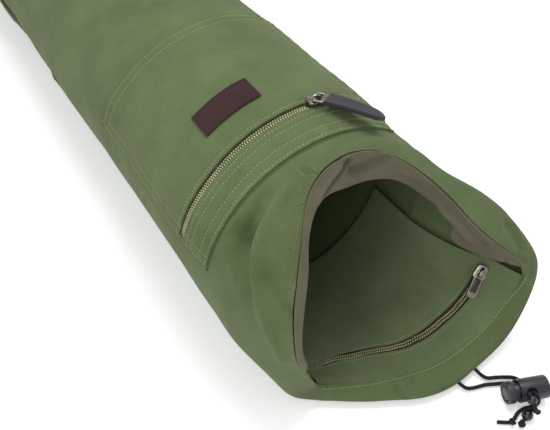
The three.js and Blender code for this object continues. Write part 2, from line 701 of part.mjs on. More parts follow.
// Drawcord ends, from the lip through the lock to their knots. The points are chosen by hand.
const throughHole = (side, away) => (
  holeCentre.clone().addScaledVector(lockAlong, side * 0.58 * cordDiameter).addScaledVector(holeAlong, away)
);
const nearBeadAt = beyondNeck(66.35, 127.75, 13);
const nearBeadAlong = vector(-0.35, -0.93, -0.1).normalize();
const farBeadAt = beyondNeck(62.6, 130.9, 3.9);
const farBeadAlong = vector(-0.93, -0.3, -0.2).normalize();
const fromBead = (at, along, reach) => at.clone().addScaledVector(along, reach);
const longRoute = [
  beyondNeck(43.3, 88.5, 2.8), beyondNeck(43.5, 94.2, 2.85), beyondNeck(45.4, 98.2, 2.1),
  beyondNeck(50.0, 100.2, 1.6), beyondNeck(56.5, 102, 1.5), beyondNeck(62.2, 104.7, 1.5),
  beyondNeck(67.6, 107.4, 1.5), beyondNeck(71.8, 110.4, 1.5),
  throughHole(-1, -7), throughHole(-1, -4), throughHole(-1, 4), throughHole(-1, 7.2),
  fromBead(nearBeadAt, nearBeadAlong, -nearBead - 0.3), nearBeadAt,
  fromBead(nearBeadAt, nearBeadAlong, nearBead + 0.3),
  beyondNeck(65.0, 132.7, 11.2), beyondNeck(66.0, 133.4, 8.8), beyondNeck(67.4, 131.9, 6.6),
  fromBead(farBeadAt, farBeadAlong, -farBead - 0.3), farBeadAt,
  fromBead(farBeadAt, farBeadAlong, farBead + 0.4),
];
const shortRoute = [
  beyondNeck(57.9, 87.2, 3.35), beyondNeck(58.3, 91.8, 3.2), beyondNeck(59.2, 96, 2.3),
  beyondNeck(61.2, 99.2, 1.6), beyondNeck(65.5, 101.4, 1.5), beyondNeck(70.6, 104.2, 1.5),
  beyondNeck(75.4, 107.6, 1.5), beyondNeck(76.9, 111, 1.6),
  throughHole(1, -7), throughHole(1, -4), throughHole(1, 4), throughHole(1, 7.2),
  beyondNeck(71.4, 127.5, 12.3), beyondNeck(71.8, 129, 9.4), beyondNeck(71.2, 129.2, 6.2),
  beyondNeck(69.0, 127.8, 3.3), beyondNeck(65.2, 126.2, 1.9), beyondNeck(60.4, 126.2, 1.6),
  beyondNeck(55.6, 128, 2.0),
];
function cord(points) {
  const section = new THREE.Shape();
  section.absarc(0, 0, cordDiameter / 2, 0, 2 * Math.PI);
  const extrudePath = new THREE.CatmullRomCurve3(points);
  const steps = Math.round(extrudePath.getLength() / cordFacet);
  const settings = { steps, extrudePath, curveSegments: cordSides / 2, bevelEnabled: false };
  return new THREE.ExtrudeGeometry(section, settings);
}
addPiece('drawcord_long', cord(longRoute), cloth('cord'));
addPiece('drawcord_short', cord(shortRoute), cloth('cord'));

// Beads threaded on the long end, and the knots that finish both ends
function bead(name, size, at, along) {
  const geometry = new THREE.SphereGeometry(size, 12, 8);
  const bore = new THREE.CylinderGeometry(beadBore, beadBore, 3 * size, 8);
  const drilled = cutBy(geometry, bore);
  const turned = new THREE.Quaternion().setFromUnitVectors(vector(0, 1, 0), along);
  const mesh = addPiece(name, drilled, plastic('plastic'));
  mesh.quaternion.copy(turned);
  mesh.position.copy(at);
}
bead('cord_bead_near', nearBead, nearBeadAt, nearBeadAlong);
bead('cord_bead_far', farBead, farBeadAt, farBeadAlong);

function knot(name, after, before, tail) {
  const leaving = after.clone().sub(before).normalize();
  const centre = after.clone().addScaledVector(leaving, knotSize + gap);
  centre.z = Math.max(centre.z, knotSize);
  const ball = new THREE.SphereGeometry(knotSize, 10, 7);
  let geometry = ball;
  if (tail > 0) {
    const turn = Math.atan2(leaving.y, leaving.x) + radians(knotTailTurn);
    const stub = new THREE.CylinderGeometry(cordDiameter / 2, cordDiameter / 2, tail, cordSides);
    stub.rotateZ(turn - Math.PI / 2);
    const drop = cordDiameter / 2 - knotSize + 0.1;
    stub.translate(Math.cos(turn) * tail / 2, Math.sin(turn) * tail / 2, drop);
    geometry = joined(ball, stub);
  }
  const mesh = addPiece(name, geometry, cloth('cord'));
  mesh.position.copy(centre);
}
knot('cord_knot_long', longRoute.at(-1), longRoute.at(-2), 0);
knot('cord_knot_short', shortRoute.at(-1), shortRoute.at(-2), knotTail);

export default bag;
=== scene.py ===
# %% [markdown]
# # A canvas yoga mat bag
# The real bag is a tube of heavy cotton canvas with a drawstring mouth, a zipped patch pocket on
# top, a second pocket inside the lip and a short drawcord with a cord lock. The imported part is
# loaded first and stays where it is. Each soft piece is then made again as a finer cloth over its
# solid, because folds, seams and stitches need more points than a solid for collisions has.

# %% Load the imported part
import math

import bpy
import numpy as np
from mathutils import Matrix, Vector
from mathutils.bvhtree import BVHTree
from mathutils.kdtree import KDTree


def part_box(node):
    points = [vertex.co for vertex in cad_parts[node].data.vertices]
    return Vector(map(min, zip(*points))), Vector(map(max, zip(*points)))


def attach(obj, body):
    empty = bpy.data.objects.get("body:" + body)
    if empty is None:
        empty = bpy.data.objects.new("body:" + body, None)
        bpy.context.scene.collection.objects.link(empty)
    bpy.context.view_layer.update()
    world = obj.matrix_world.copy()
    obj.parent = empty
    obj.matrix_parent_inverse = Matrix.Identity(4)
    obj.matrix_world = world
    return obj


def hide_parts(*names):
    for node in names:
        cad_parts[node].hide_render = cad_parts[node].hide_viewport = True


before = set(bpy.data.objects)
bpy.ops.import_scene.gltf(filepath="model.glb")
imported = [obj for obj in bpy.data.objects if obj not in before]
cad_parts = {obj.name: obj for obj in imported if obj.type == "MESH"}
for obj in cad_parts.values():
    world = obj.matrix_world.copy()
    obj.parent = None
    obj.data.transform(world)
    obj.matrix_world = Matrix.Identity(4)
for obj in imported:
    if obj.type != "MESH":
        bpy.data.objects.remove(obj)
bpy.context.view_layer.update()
MM = 0.001
print("nodes:", len(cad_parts))

# %% [markdown]
# ## The camera
# The bag is seen from above its mouth, with its far end leaving the picture. A camera with a known
# place, a heading of 31 degrees and a tilt of 46 degrees down gives the same view in any script.

# %% Set the camera
CAMERA_PLACE = (-0.16947, -0.47249, 0.38192)
CAMERA_TILT = 44.06
CAMERA_HEADING = -31.46
CAMERA_LENS = 45.82

bpy.ops.object.camera_add(
    location=CAMERA_PLACE,
    rotation=(math.radians(CAMERA_TILT), 0, math.radians(CAMERA_HEADING)),
)
camera = bpy.context.object
camera.data.lens = CAMERA_LENS
camera.data.sensor_width = 36
camera.data.clip_start = 0.01
bpy.context.scene.camera = camera
print("camera at", tuple(round(v, 3) for v in camera.location))

# %% [markdown]
# ## Working by hand, in code
# An operator acts on whatever is selected, so each step first selects one object alone. These
# helpers do that, apply modifiers at once, and take a merged copy of a solid to work on.


# %% Helpers for operators and modifiers
def only(obj):
    bpy.ops.object.select_all(action="DESELECT")
    obj.select_set(True)
    bpy.context.view_layer.objects.active = obj


def edit(obj, select="DESELECT"):
    only(obj)
    bpy.ops.object.mode_set(mode="EDIT")
    bpy.ops.mesh.select_all(action=select)


def leave():
    bpy.ops.object.mode_set(mode="OBJECT")


def modify(obj, kind, **settings):
    modifier = obj.modifiers.new(kind.title(), kind)
    for key, value in settings.items():
        setattr(modifier, key, value)
    only(obj)
    bpy.ops.object.modifier_apply(modifier=modifier.name)


def smooth(obj, angle=35):
    only(obj)
    bpy.ops.object.shade_smooth_by_angle(angle=math.radians(angle))


def points_of(obj):
    flat = np.empty(len(obj.data.vertices) * 3)
    obj.data.vertices.foreach_get("co", flat)
    return flat.reshape(-1, 3)


def place_points(obj, points):
    obj.data.vertices.foreach_set("co", np.ascontiguousarray(points).ravel())
    obj.data.update()


def normals_of(obj):
    flat = np.empty(len(obj.data.vertices) * 3)
    obj.data.vertices.foreach_get("normal", flat)
    return flat.reshape(-1, 3)


def solid_copy(node, name):
    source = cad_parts[node]
    piece = bpy.data.objects.new(name, source.data.copy())
    bpy.context.scene.collection.objects.link(piece)
    piece.data.materials.clear()
    edit(piece, "SELECT")
    bpy.ops.mesh.remove_doubles(threshold=0.00001)
    bpy.ops.mesh.tris_convert_to_quads(
        face_threshold=math.radians(150), shape_threshold=math.radians(150)
    )
    leave()
    return piece


def keep_side(piece, seed, towards, corner=62):
    """Keeps the side of a cloth that faces a direction at a place, up to its rims."""
    seed, towards = Vector(seed) * MM, Vector(towards)
    faces = [f for f in piece.data.polygons if f.normal.dot(towards) > 0.6]
    start = min(faces, key=lambda f: (f.center - seed).length).index
    edit(piece)
    leave()
    piece.data.polygons[start].select = True
    bpy.ops.object.mode_set(mode="EDIT")
    bpy.ops.mesh.select_mode(type="FACE")
    bpy.ops.mesh.faces_select_linked_flat(sharpness=math.radians(corner))
    bpy.ops.mesh.select_all(action="INVERT")
    bpy.ops.mesh.delete(type="FACE")
    leave()
    counts = [len(f.vertices) for f in piece.data.polygons]
    print(piece.name, "keeps", counts.count(4), "quads and", counts.count(3), "triangles")
    return piece


def tell(*pieces):
    for piece in pieces:
        print(piece.name, len(piece.data.polygons), "faces")


def dress(piece, finish, node_name, thickness=None, angle=60):
    """Gives a piece its thickness and finish, and puts it in the place of its solid."""
    if thickness:
        modify(piece, "SOLIDIFY", thickness=thickness, offset=-1)
    smooth(piece, angle)
    piece.data.materials.append(finish)
    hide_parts(node_name)
    tell(piece)


# %% [markdown]
# ## Directions round the bag
# Most places on the bag are easiest to give as a turn round its axis, with 0 at the top and 90 to
# the right of someone who looks into the mouth, and a distance along it. The same turn and distance
# make a map of the cloth, so that a weave follows the canvas round the tube.

# %% Turns, rings and a map of the cloth
RADIUS = 0.076
AXIS_HEIGHT = 0.072
NECK = -0.247


def turn_of(points):
    return np.degrees(np.arctan2(points[:, 0], points[:, 2] - AXIS_HEIGHT))


def around(turn, out, y):
    angle = np.radians(turn)
    return np.stack(
        [out * np.sin(angle), np.broadcast_to(y, np.shape(angle)), AXIS_HEIGHT + out * np.cos(angle)],
        axis=-1,
    )


def map_cloth(piece, along=None, turns=None):
    """A UV map in metres: round the bag, and along it or by each point's own distance."""
    points = points_of(piece)
    turns = turn_of(points) if turns is None else turns
    along = points[:, 1] if along is None else along
    layer = piece.data.uv_layers.new(name="Cloth")
    for face in piece.data.polygons:
        corners = [piece.data.loops[k].vertex_index for k in face.loop_indices]
        first = turns[corners[0]]
        for loop, corner in zip(face.loop_indices, corners):
            turn = turns[corner] + 360 * round((first - turns[corner]) / 360)
            layer.data[loop].uv = (math.radians(turn) * RADIUS, along[corner])


def map_flat(piece):
    """A UV map in metres for a flat round panel."""
    points = points_of(piece)
    layer = piece.data.uv_layers.new(name="Cloth")
    for loop, spot in zip(piece.data.loops, layer.data):
        spot.uv = (points[loop.vertex_index][0], points[loop.vertex_index][2])


def steps_from(piece, start):
    """How many edges each point is from a starting row."""
    reach = np.full(len(piece.data.vertices), -1)
    reach[start] = 0
    edges = np.array([e.vertices[:] for e in piece.data.edges])
    step = 0
    while (reach < 0).any() and step < 200:
        for a, b in ((0, 1), (1, 0)):
            hit = edges[(reach[edges[:, a]] == step) & (reach[edges[:, b]] < 0), b]
            reach[hit] = step + 1
        step += 1
    return reach


def carried_turns(piece, steps):
    """Each point takes its turn from the starting row, handed on from step to step."""
    turns = turn_of(points_of(piece))
    edges = np.array([e.vertices[:] for e in piece.data.edges])
    for step in range(1, steps.max() + 1):
        for a, b in ((0, 1), (1, 0)):
            rows = edges[(steps[edges[:, a]] == step - 1) & (steps[edges[:, b]] == step)]
            turns[rows[:, b]] = turns[rows[:, a]]
    return turns


# %% [markdown]
# ## Finishes
# Canvas is a plain weave of matt cotton: two sets of threads that cross, painted shade in the hollows
# of the weave, a little fuzz that lightens it at a grazing angle, and a slightly uneven, fading dye.
# The weave reads the cloth map; the fading reads object coordinates, so it crosses seams as real wear
# does.


# %% A cloth material
def link(tree, start, end):
    tree.links.new(start, end)


def new_material(name):
    material = bpy.data.materials.new(name)
    material.use_nodes = True
    tree = material.node_tree
    return material, tree, tree.nodes["Principled BSDF"]


def node(tree, kind, **settings):
    made = tree.nodes.new(kind)
    for key, value in settings.items():
        if key in made.inputs:
            made.inputs[key].default_value = value
        else:
            setattr(made, key, value)
    return made


def ramp(tree, source, stops):
    made = tree.nodes.new("ShaderNodeValToRGB")
    elements = made.color_ramp.elements
    while len(elements) < len(stops):
        elements.new(0.5)
    for element, (place, colour) in zip(elements, stops):
        element.position = place
        element.color = (*colour, 1)
    link(tree, source, made.inputs["Fac"])
    return made.outputs["Color"]


def linear(*colour):
    return tuple(
        c / 255 / 12.92 if c <= 10 else ((c / 255 + 0.055) / 1.055) ** 2.4 for c in colour
    )


def shade(colour, share):
    return tuple(min(1, c * share) for c in colour)


def weave(tree, threads, mapped=True):
    """Two crossing sets of threads, as a height from 0 to 1."""
    place = tree.nodes.new("ShaderNodeTexCoord").outputs["UV" if mapped else "Object"]
    waves = []
    for direction in ("X", "Y"):
        wave = node(
            tree, "ShaderNodeTexWave", wave_type="BANDS", bands_direction=direction, Scale=threads,
            Distortion=1.2, Detail=1.0,
        )
        wave.inputs["Detail Scale"].default_value = 0.4
        link(tree, place, wave.inputs["Vector"])
        waves.append(wave.outputs["Fac"])
    height = node(tree, "ShaderNodeMath", operation="MAXIMUM")
    link(tree, waves[0], height.inputs[0])
    link(tree, waves[1], height.inputs[1])
    return height.outputs["Value"]


def cloth_finish(
    name, colour, threads=640, uneven=0.14, weave_depth=0.00016, fuzz=0.06, rough=0.95, mapped=True
):
    material, tree, surface = new_material(name)
    height = weave(tree, threads, mapped)
    place = tree.nodes.new("ShaderNodeTexCoord").outputs["Object"]
    fade = node(tree, "ShaderNodeTexNoise", Scale=26.0, Detail=5.0, Roughness=0.62)
    link(tree, place, fade.inputs["Vector"])
    fleck = node(tree, "ShaderNodeTexNoise", Scale=900.0, Detail=2.0)
    link(tree, place, fleck.inputs["Vector"])
    dye_and_shade = ramp(
        tree, fade.outputs["Fac"], [(0.32, shade(colour, 1 - uneven)), (0.68, shade(colour, 1 + uneven))]
    )
    # Painted shade: the colour is darkened in the hollows of the weave, where the threads dip.
    valley_shade = ramp(tree, height, [(0.25, (0.62, 0.62, 0.62)), (0.9, (1.06, 1.06, 1.06))])
    flecks = ramp(tree, fleck.outputs["Fac"], [(0.3, (0.86, 0.86, 0.86)), (0.7, (1.12, 1.12, 1.12))])
    for layer in (valley_shade, flecks):
        mixed = node(tree, "ShaderNodeMix", data_type="RGBA", blend_type="MULTIPLY")
        mixed.inputs["Factor"].default_value = 0.55
        link(tree, dye_and_shade, mixed.inputs["A"])
        link(tree, layer, mixed.inputs["B"])
        dye_and_shade = mixed.outputs["Result"]
    # The base colour carries both the uneven dye and the painted shade of the weave.
    link(tree, dye_and_shade, surface.inputs["Base Color"])
    bump = node(tree, "ShaderNodeBump", Strength=0.5, Distance=weave_depth)
    link(tree, height, bump.inputs["Height"])
    crumple = node(tree, "ShaderNodeTexNoise", Scale=60.0, Detail=4.0, Roughness=0.55)
    link(tree, place, crumple.inputs["Vector"])
    soft = node(tree, "ShaderNodeBump", Strength=0.35, Distance=0.0012)
    link(tree, crumple.outputs["Fac"], soft.inputs["Height"])
    link(tree, bump.outputs["Normal"], soft.inputs["Normal"])
    link(tree, soft.outputs["Normal"], surface.inputs["Normal"])
    surface.inputs["Roughness"].default_value = rough
    surface.inputs["Specular IOR Level"].default_value = 0.12
    surface.inputs["Sheen Weight"].default_value = fuzz
    surface.inputs["Sheen Roughness"].default_value = 0.45
    return material


def plastic_finish(name, colour, rough=0.42, grain=0.00008):
    material, tree, surface = new_material(name)
    place = tree.nodes.new("ShaderNodeTexCoord").outputs["Object"]
    fine = node(tree, "ShaderNodeTexNoise", Scale=1800.0, Detail=2.0)
    link(tree, place, fine.inputs["Vector"])
    broad = node(tree, "ShaderNodeTexNoise", Scale=140.0, Detail=3.0)
    link(tree, place, broad.inputs["Vector"])
    tint = ramp(tree, broad.outputs["Fac"], [(0.3, shade(colour, 0.85)), (0.7, shade(colour, 1.2))])
    link(tree, tint, surface.inputs["Base Color"])
    gloss = node(tree, "ShaderNodeMapRange")
    link(tree, broad.outputs["Fac"], gloss.inputs["Value"])
    gloss.inputs["To Min"].default_value = rough - 0.08
    gloss.inputs["To Max"].default_value = rough + 0.1
    link(tree, gloss.outputs["Result"], surface.inputs["Roughness"])
    bump = node(tree, "ShaderNodeBump", Strength=0.35, Distance=grain)
    link(tree, fine.outputs["Fac"], bump.inputs["Height"])
    link(tree, bump.outputs["Normal"], surface.inputs["Normal"])
    return material


def metal_finish(name, colour, rough=0.2):
    material, tree, surface = new_material(name)
    place = tree.nodes.new("ShaderNodeTexCoord").outputs["Object"]
    scuff = node(tree, "ShaderNodeTexNoise", Scale=500.0, Detail=5.0, Roughness=0.7)
    link(tree, place, scuff.inputs["Vector"])
    tint = ramp(tree, scuff.outputs["Fac"], [(0.35, shade(colour, 0.82)), (0.7, colour)])
    link(tree, tint, surface.inputs["Base Color"])
    gloss = node(tree, "ShaderNodeMapRange")
    link(tree, scuff.outputs["Fac"], gloss.inputs["Value"])
    gloss.inputs["To Min"].default_value = rough - 0.08
    gloss.inputs["To Max"].default_value = rough + 0.16
    link(tree, gloss.outputs["Result"], surface.inputs["Roughness"])
    surface.inputs["Metallic"].default_value = 1.0
    return material


canvas = cloth_finish("green_canvas", linear(90, 103, 69))
# The inside canvas is the same canvas drawn lighter: painted light that brightens the inside of the
# mouth.
lining_painted_light = cloth_finish("green_canvas_inside_painted_light", linear(98, 111, 79))
facing = cloth_finish("olive_facing", linear(97, 94, 75), threads=480, weave_depth=0.0001)
tape = cloth_finish("zip_tape", linear(60, 64, 44), threads=700, weave_depth=0.0001, mapped=False)
woven = cloth_finish("dark_label", linear(58, 40, 41), threads=900, weave_depth=0.0001)
thread = cloth_finish("pale_thread", linear(146, 156, 108), threads=2500, uneven=0.1, mapped=False)
hem_thread = cloth_finish("hem_thread", linear(112, 124, 82), threads=2500, uneven=0.1, mapped=False)
label_thread = cloth_finish("label_thread", linear(50, 34, 35), threads=2500, uneven=0.1, mapped=False)
black_cord = cloth_finish(
    "black_cord", linear(34, 34, 42), threads=1100, rough=0.55, weave_depth=0.0003, mapped=False
)
tab_black = plastic_finish("black_tab", linear(30, 31, 38), rough=0.6, grain=0.0004)
tab_thread = plastic_finish("tab_thread", linear(60, 60, 68), rough=0.5)
lock_black = plastic_finish("lock_plastic", linear(36, 36, 44), rough=0.4)
bead_black = plastic_finish("bead_plastic", linear(26, 26, 32), rough=0.16)
nickel = metal_finish("warm_nickel", linear(146, 140, 130), rough=0.16)
# The puller's dark panel is a painted reflection: the dark that its flat metal face mirrors.
puller_reflection_paint = plastic_finish("dark_painted_reflection", linear(24, 22, 26), rough=0.25)
coil = plastic_finish("coil_teeth", linear(162, 158, 122), rough=0.45)
print("finishes:", len(bpy.data.materials))


# %% [markdown]
# ## The drawcord
# Two ends of a thin, limp, round cord leave the lip, run side by side over the floor, turn up
# through the cord lock and finish in beads and knots. A cord is a line before it is a shape, so the
# route comes first, then a tube is drawn round it. The points are the ones that the solid follows.


# %% The cords' routes
CORD_WIDE = 0.0025
LOCK_CAP = Vector((59.9, -361.5, 7.2))
LOCK_ALONG = Vector((0.936, -0.351, 0)).normalized()
LOCK_ACROSS = Vector((-0.351, -0.936, 0)).normalized()
HOLE_TILT = math.radians(40)
HOLE_ALONG = LOCK_ACROSS * math.cos(HOLE_TILT) + Vector((0, 0, math.sin(HOLE_TILT)))
HOLE_FROM_CAP = 13.5
HOLE_CENTRE = LOCK_CAP + LOCK_ALONG * HOLE_FROM_CAP
NEAR_BEAD = Vector((66.35, -374.75, 13))
NEAR_BEAD_ALONG = Vector((-0.35, -0.93, -0.1)).normalized()
FAR_BEAD = Vector((62.6, -377.9, 3.9))
FAR_BEAD_ALONG = Vector((-0.93, -0.3, -0.2)).normalized()


def through_hole(side):
    beside = LOCK_ALONG * side * 0.58 * 2.5
    return [HOLE_CENTRE + beside + HOLE_ALONG * away for away in (-7, -4, 4, 7.2)]


LONG_ROUTE = [
    (43.3, -335.5, 2.8), (43.5, -341.2, 2.85), (45.4, -345.2, 2.1), (50.0, -347.2, 1.6),
    (56.5, -349.0, 1.5), (62.2, -351.7, 1.5), (67.6, -354.4, 1.5), (71.8, -357.4, 1.5),
    *through_hole(-1),
    NEAR_BEAD - NEAR_BEAD_ALONG * 3.2, NEAR_BEAD, NEAR_BEAD + NEAR_BEAD_ALONG * 3.2,
    (65.0, -379.7, 11.2), (66.0, -380.4, 8.8), (67.4, -378.9, 6.6),
    FAR_BEAD - FAR_BEAD_ALONG * 3.6, FAR_BEAD, FAR_BEAD + FAR_BEAD_ALONG * 3.7,
]
SHORT_ROUTE = [
    (57.9, -334.2, 3.35), (58.3, -338.8, 3.2), (59.2, -343.0, 2.3), (61.2, -346.2, 1.6),
    (65.5, -348.4, 1.5), (70.6, -351.2, 1.5), (75.4, -354.6, 1.5), (76.9, -358.0, 1.6),
    *through_hole(1),
    (71.4, -374.5, 12.3), (71.8, -376.0, 9.4), (71.2, -376.2, 6.2), (69.0, -374.8, 3.3),
    (65.2, -373.2, 1.9), (60.4, -373.2, 1.6), (55.6, -375.0, 2.0),
]


def flowing_line(points, steps=10):
    """A smooth line through the points, with its corners rounded by their own spacing."""
    row = np.array([tuple(p) for p in points], float)
    row = np.vstack([2 * row[0] - row[1], row, 2 * row[-1] - row[-2]])
    line = []
    for before, a, b, after in zip(row, row[1:], row[2:], row[3:]):
        gaps = [np.linalg.norm(q - p) ** 0.5 for p, q in ((before, a), (a, b), (b, after))]
        start = (a - before) / gaps[0] - (b - before) / (gaps[0] + gaps[1]) + (b - a) / gaps[1]
        end = (b - a) / gaps[1] - (after - a) / (gaps[1] + gaps[2]) + (after - b) / gaps[2]
        start, end = start * gaps[1], end * gaps[1]
        for t in np.linspace(0, 1, steps, endpoint=False):
            line.append(
                a + start * t + (3 * (b - a) - 2 * start - end) * t**2
                + (2 * (a - b) + start + end) * t**3
            )
    line.append(row[-2])
    return np.array(line)


def evenly(line, spacing):
    """The same line with points a fixed distance apart."""
    lengths = np.concatenate([[0], np.cumsum(np.linalg.norm(np.diff(line, axis=0), axis=1))])
    count = max(2, round(lengths[-1] / spacing) + 1)
    along = np.linspace(0, lengths[-1], count)
    return np.stack([np.interp(along, lengths, line[:, k]) for k in range(3)], axis=1)


def tube(name, line, width, sides=12):
    """A round tube along a line, with closed ends and a map along its length."""
    curve = bpy.data.curves.new(name, "CURVE")
    curve.dimensions = "3D"
    curve.bevel_depth = width / 2
    curve.bevel_resolution = sides // 4
    curve.use_fill_caps = True
    spline = curve.splines.new("POLY")
    spline.points.add(len(line) - 1)
    for point, place in zip(spline.points, line):
        point.co = (*place, 1)
    piece = bpy.data.objects.new(name, curve)
    bpy.context.scene.collection.objects.link(piece)
    only(piece)
    bpy.ops.object.convert(target="MESH")
    piece = bpy.context.object
    edit(piece, "SELECT")
    bpy.ops.mesh.remove_doubles(threshold=0.000002)
    bpy.ops.mesh.normals_make_consistent(inside=False)
    leave()
    smooth(piece, 60)
    return piece


def length_of(line):
    return float(np.linalg.norm(np.diff(line, axis=0), axis=1).sum())


long_line = evenly(flowing_line(LONG_ROUTE) * MM, 0.0007)
short_line = evenly(flowing_line(SHORT_ROUTE) * MM, 0.0007)
print("cord lengths:", round(length_of(long_line), 4), round(length_of(short_line), 4))


# %% [markdown]
# The real cord is braided: two sets of strands wind round it in opposite turns. A tube with enough
# points along it can carry that as a shape, by pushing its skin out and in along two spirals.


# %% Braid the cords
def braid(piece, line, strands=4, pitch=0.0052, depth=0.00011):
    points, normals = points_of(piece), normals_of(piece)
    tree = KDTree(len(line))
    for k, place in enumerate(line):
        tree.insert(place, k)
    tree.balance()
    nearest = np.array([tree.find(p)[1] for p in points])
    along = np.concatenate([[0], np.cumsum(np.linalg.norm(np.diff(line, axis=0), axis=1))])
    heading = np.gradient(line, axis=0)
    heading /= np.linalg.norm(heading, axis=1)[:, None]
    side = np.cross(heading, (0.13, 0.21, 0.97))
    side /= np.linalg.norm(side, axis=1)[:, None]
    other = np.cross(heading, side)
    away = points - line[nearest]
    spin = np.arctan2((away * other[nearest]).sum(1), (away * side[nearest]).sum(1))
    run = 2 * math.pi * along[nearest] / pitch
    height = np.cos(strands * spin + 2 * run) * np.cos(strands * spin - 2 * run)
    place_points(piece, points + normals * (depth * (height - 1))[:, None])


cord_long = tube("drawcord_long_braided", long_line, CORD_WIDE, 24)
cord_short = tube("drawcord_short_braided", short_line, CORD_WIDE, 24)
for piece, line in ((cord_long, long_line), (cord_short, short_line)):
    braid(piece, line)
    piece.data.materials.append(black_cord)
    tell(piece)


# %% [markdown]
# ## How the canvas lies
# Filled cloth is never a perfect tube. A few broad dents and swells are enough for the eye, and the
# tube, the pocket on it and the label have to share them, or one would cut through another. So the
# dents are a field in space: any piece can be pushed by it.


# %% A field of dents, shared by all that lies on the tube
DENTS = [
    {"turn": 62, "along": -60, "wide": 22, "long": 40, "depth": -2.2},
    {"turn": 55, "along": 25, "wide": 18, "long": 45, "depth": 1.6},
    {"turn": 70, "along": 120, "wide": 20, "long": 40, "depth": -1.8},
    {"turn": -95, "along": -150, "wide": 16, "long": 30, "depth": -1.2},
    {"turn": -98, "along": 0, "wide": 20, "long": 60, "depth": 1.4},
    {"turn": -60, "along": 150, "wide": 28, "long": 50, "depth": -1.6},
    {"turn": -20, "along": -20, "wide": 30, "long": 35, "depth": -1.0},
    {"turn": 10, "along": 60, "wide": 35, "long": 30, "depth": 0.9},
    {"turn": 0, "along": 210, "wide": 40, "long": 40, "depth": -1.3},
    {"turn": 100, "along": 230, "wide": 25, "long": 50, "depth": 1.5},
    {"turn": -130, "along": -60, "wide": 18, "long": 60, "depth": -1.4},
    {"turn": 130, "along": 0, "wide": 20, "long": 90, "depth": -1.6},
]
CALM_AT = np.array([0.012, -0.221])
CALM_REACH = 0.032
SEWN_REACH = 0.007
print("dents:", len(DENTS))


def slack(points):
    """How far the canvas stands out from a true tube, in metres, at each point."""
    turns, y = turn_of(points), points[:, 1]
    out = np.zeros(len(points))
    for dent in DENTS:
        away = (turns - dent["turn"] + 180) % 360 - 180
        out += dent["depth"] * MM * np.exp(
            -((away / dent["wide"]) ** 2) - ((y - dent["along"] * MM) / (dent["long"] * MM)) ** 2
        )
    round_mm, along_mm = np.radians(turns) * 76, y * 1000
    out += 0.22 * MM * np.sin(round_mm / 9 + 1.7 * np.sin(along_mm / 31)) * np.sin(along_mm / 13)
    out += 0.30 * MM * np.sin(round_mm / 23 - along_mm / 17 + 0.8 * np.sin(round_mm / 11))
    side_mm = points[:, 0] - CALM_AT[0]
    calm = np.exp(-((side_mm**2 + (y - CALM_AT[1]) ** 2) / CALM_REACH**2) ** 2)
    under = np.clip((np.abs(turns) - 128) / 30, 0, 1)
    return out * (1 - calm) * (1 - under)


def push_out(piece, extra=None):
    points = points_of(piece)
    out = slack(points)
    if extra is not None:
        out = out + extra(points)
    angle = np.radians(turn_of(points))
    radial = np.stack([np.sin(angle), np.zeros(len(angle)), np.cos(angle)], axis=1)
    points = points + radial * out[:, None]
    points[:, 2] = np.maximum(points[:, 2], 0)
    place_points(piece, points)


def fold(piece, folds, sewn_at=None):
    """Presses creases into a cloth. Each has a line of points in millimetres, a width and a depth."""
    points, normals = points_of(piece), normals_of(piece)
    moved = np.zeros(len(points))
    for line, width, depth in folds:
        line = np.array(line, float) * MM
        nearest = np.full(len(points), 1e9)
        for a, b in zip(line, line[1:]):
            t = np.clip((points - a) @ (b - a) / ((b - a) @ (b - a)), 0, 1)
            nearest = np.minimum(nearest, np.linalg.norm(points - a - t[:, None] * (b - a), axis=1))
        moved += depth * MM * np.exp(-((nearest / (width * MM)) ** 2))
    if sewn_at is not None:
        moved *= np.clip((sewn_at - points[:, 1]) / SEWN_REACH, 0, 1)
    points = points + normals * moved[:, None]
    points[:, 2] = np.maximum(points[:, 2], 0)
    place_points(piece, points)


# %% [markdown]
# ## The tube
# The tube starts as a merged copy of its solid. Only its outer side is kept, its long faces are cut
# into squares, and a subdivision surface rounds it. The dents go in next, and Solidify gives the
# canvas its two millimetres last, so that the inside follows every dent of the outside.


# %% Body tube
def square_up(piece, cuts, longest=0.9):
    """Cuts the edges that run along the bag, so that long faces become square ones."""
    edit(piece)
    leave()
    points = points_of(piece)
    for e in piece.data.edges:
        a, b = points[e.vertices[0]], points[e.vertices[1]]
        e.select = bool(abs(b[1] - a[1]) > longest * np.linalg.norm(b - a))
    bpy.ops.object.mode_set(mode="EDIT")
    bpy.ops.mesh.select_mode(type="EDGE")
    leave()
    for e in piece.data.edges:
        a, b = points[e.vertices[0]], points[e.vertices[1]]
        e.select = bool(abs(b[1] - a[1]) > longest * np.linalg.norm(b - a))
    bpy.ops.object.mode_set(mode="EDIT")
    bpy.ops.mesh.subdivide(number_cuts=cuts, quadcorner="INNERVERT")
    leave()


def finer(piece, levels):
    modify(
        piece, "SUBSURF", levels=levels, render_levels=levels, boundary_smooth="PRESERVE_CORNERS"
    )


body = keep_side(solid_copy("body_tube", "body_tube_canvas"), (0, 0, 148), (0, 0, 1))
square_up(body, 4)
map_cloth(body)
finer(body, 2)
push_out(body)
dress(body, canvas, "body_tube", thickness=0.002)


# %% [markdown]
# ## Finding places on a cloth
# Stitches and teeth are placed by a turn and a distance, and then have to sit on the finished cloth
# with all its folds. A tree over the cloth map gives the nearest points, and a second tree over the
# faces gives the exact spot and the direction that the cloth faces there.


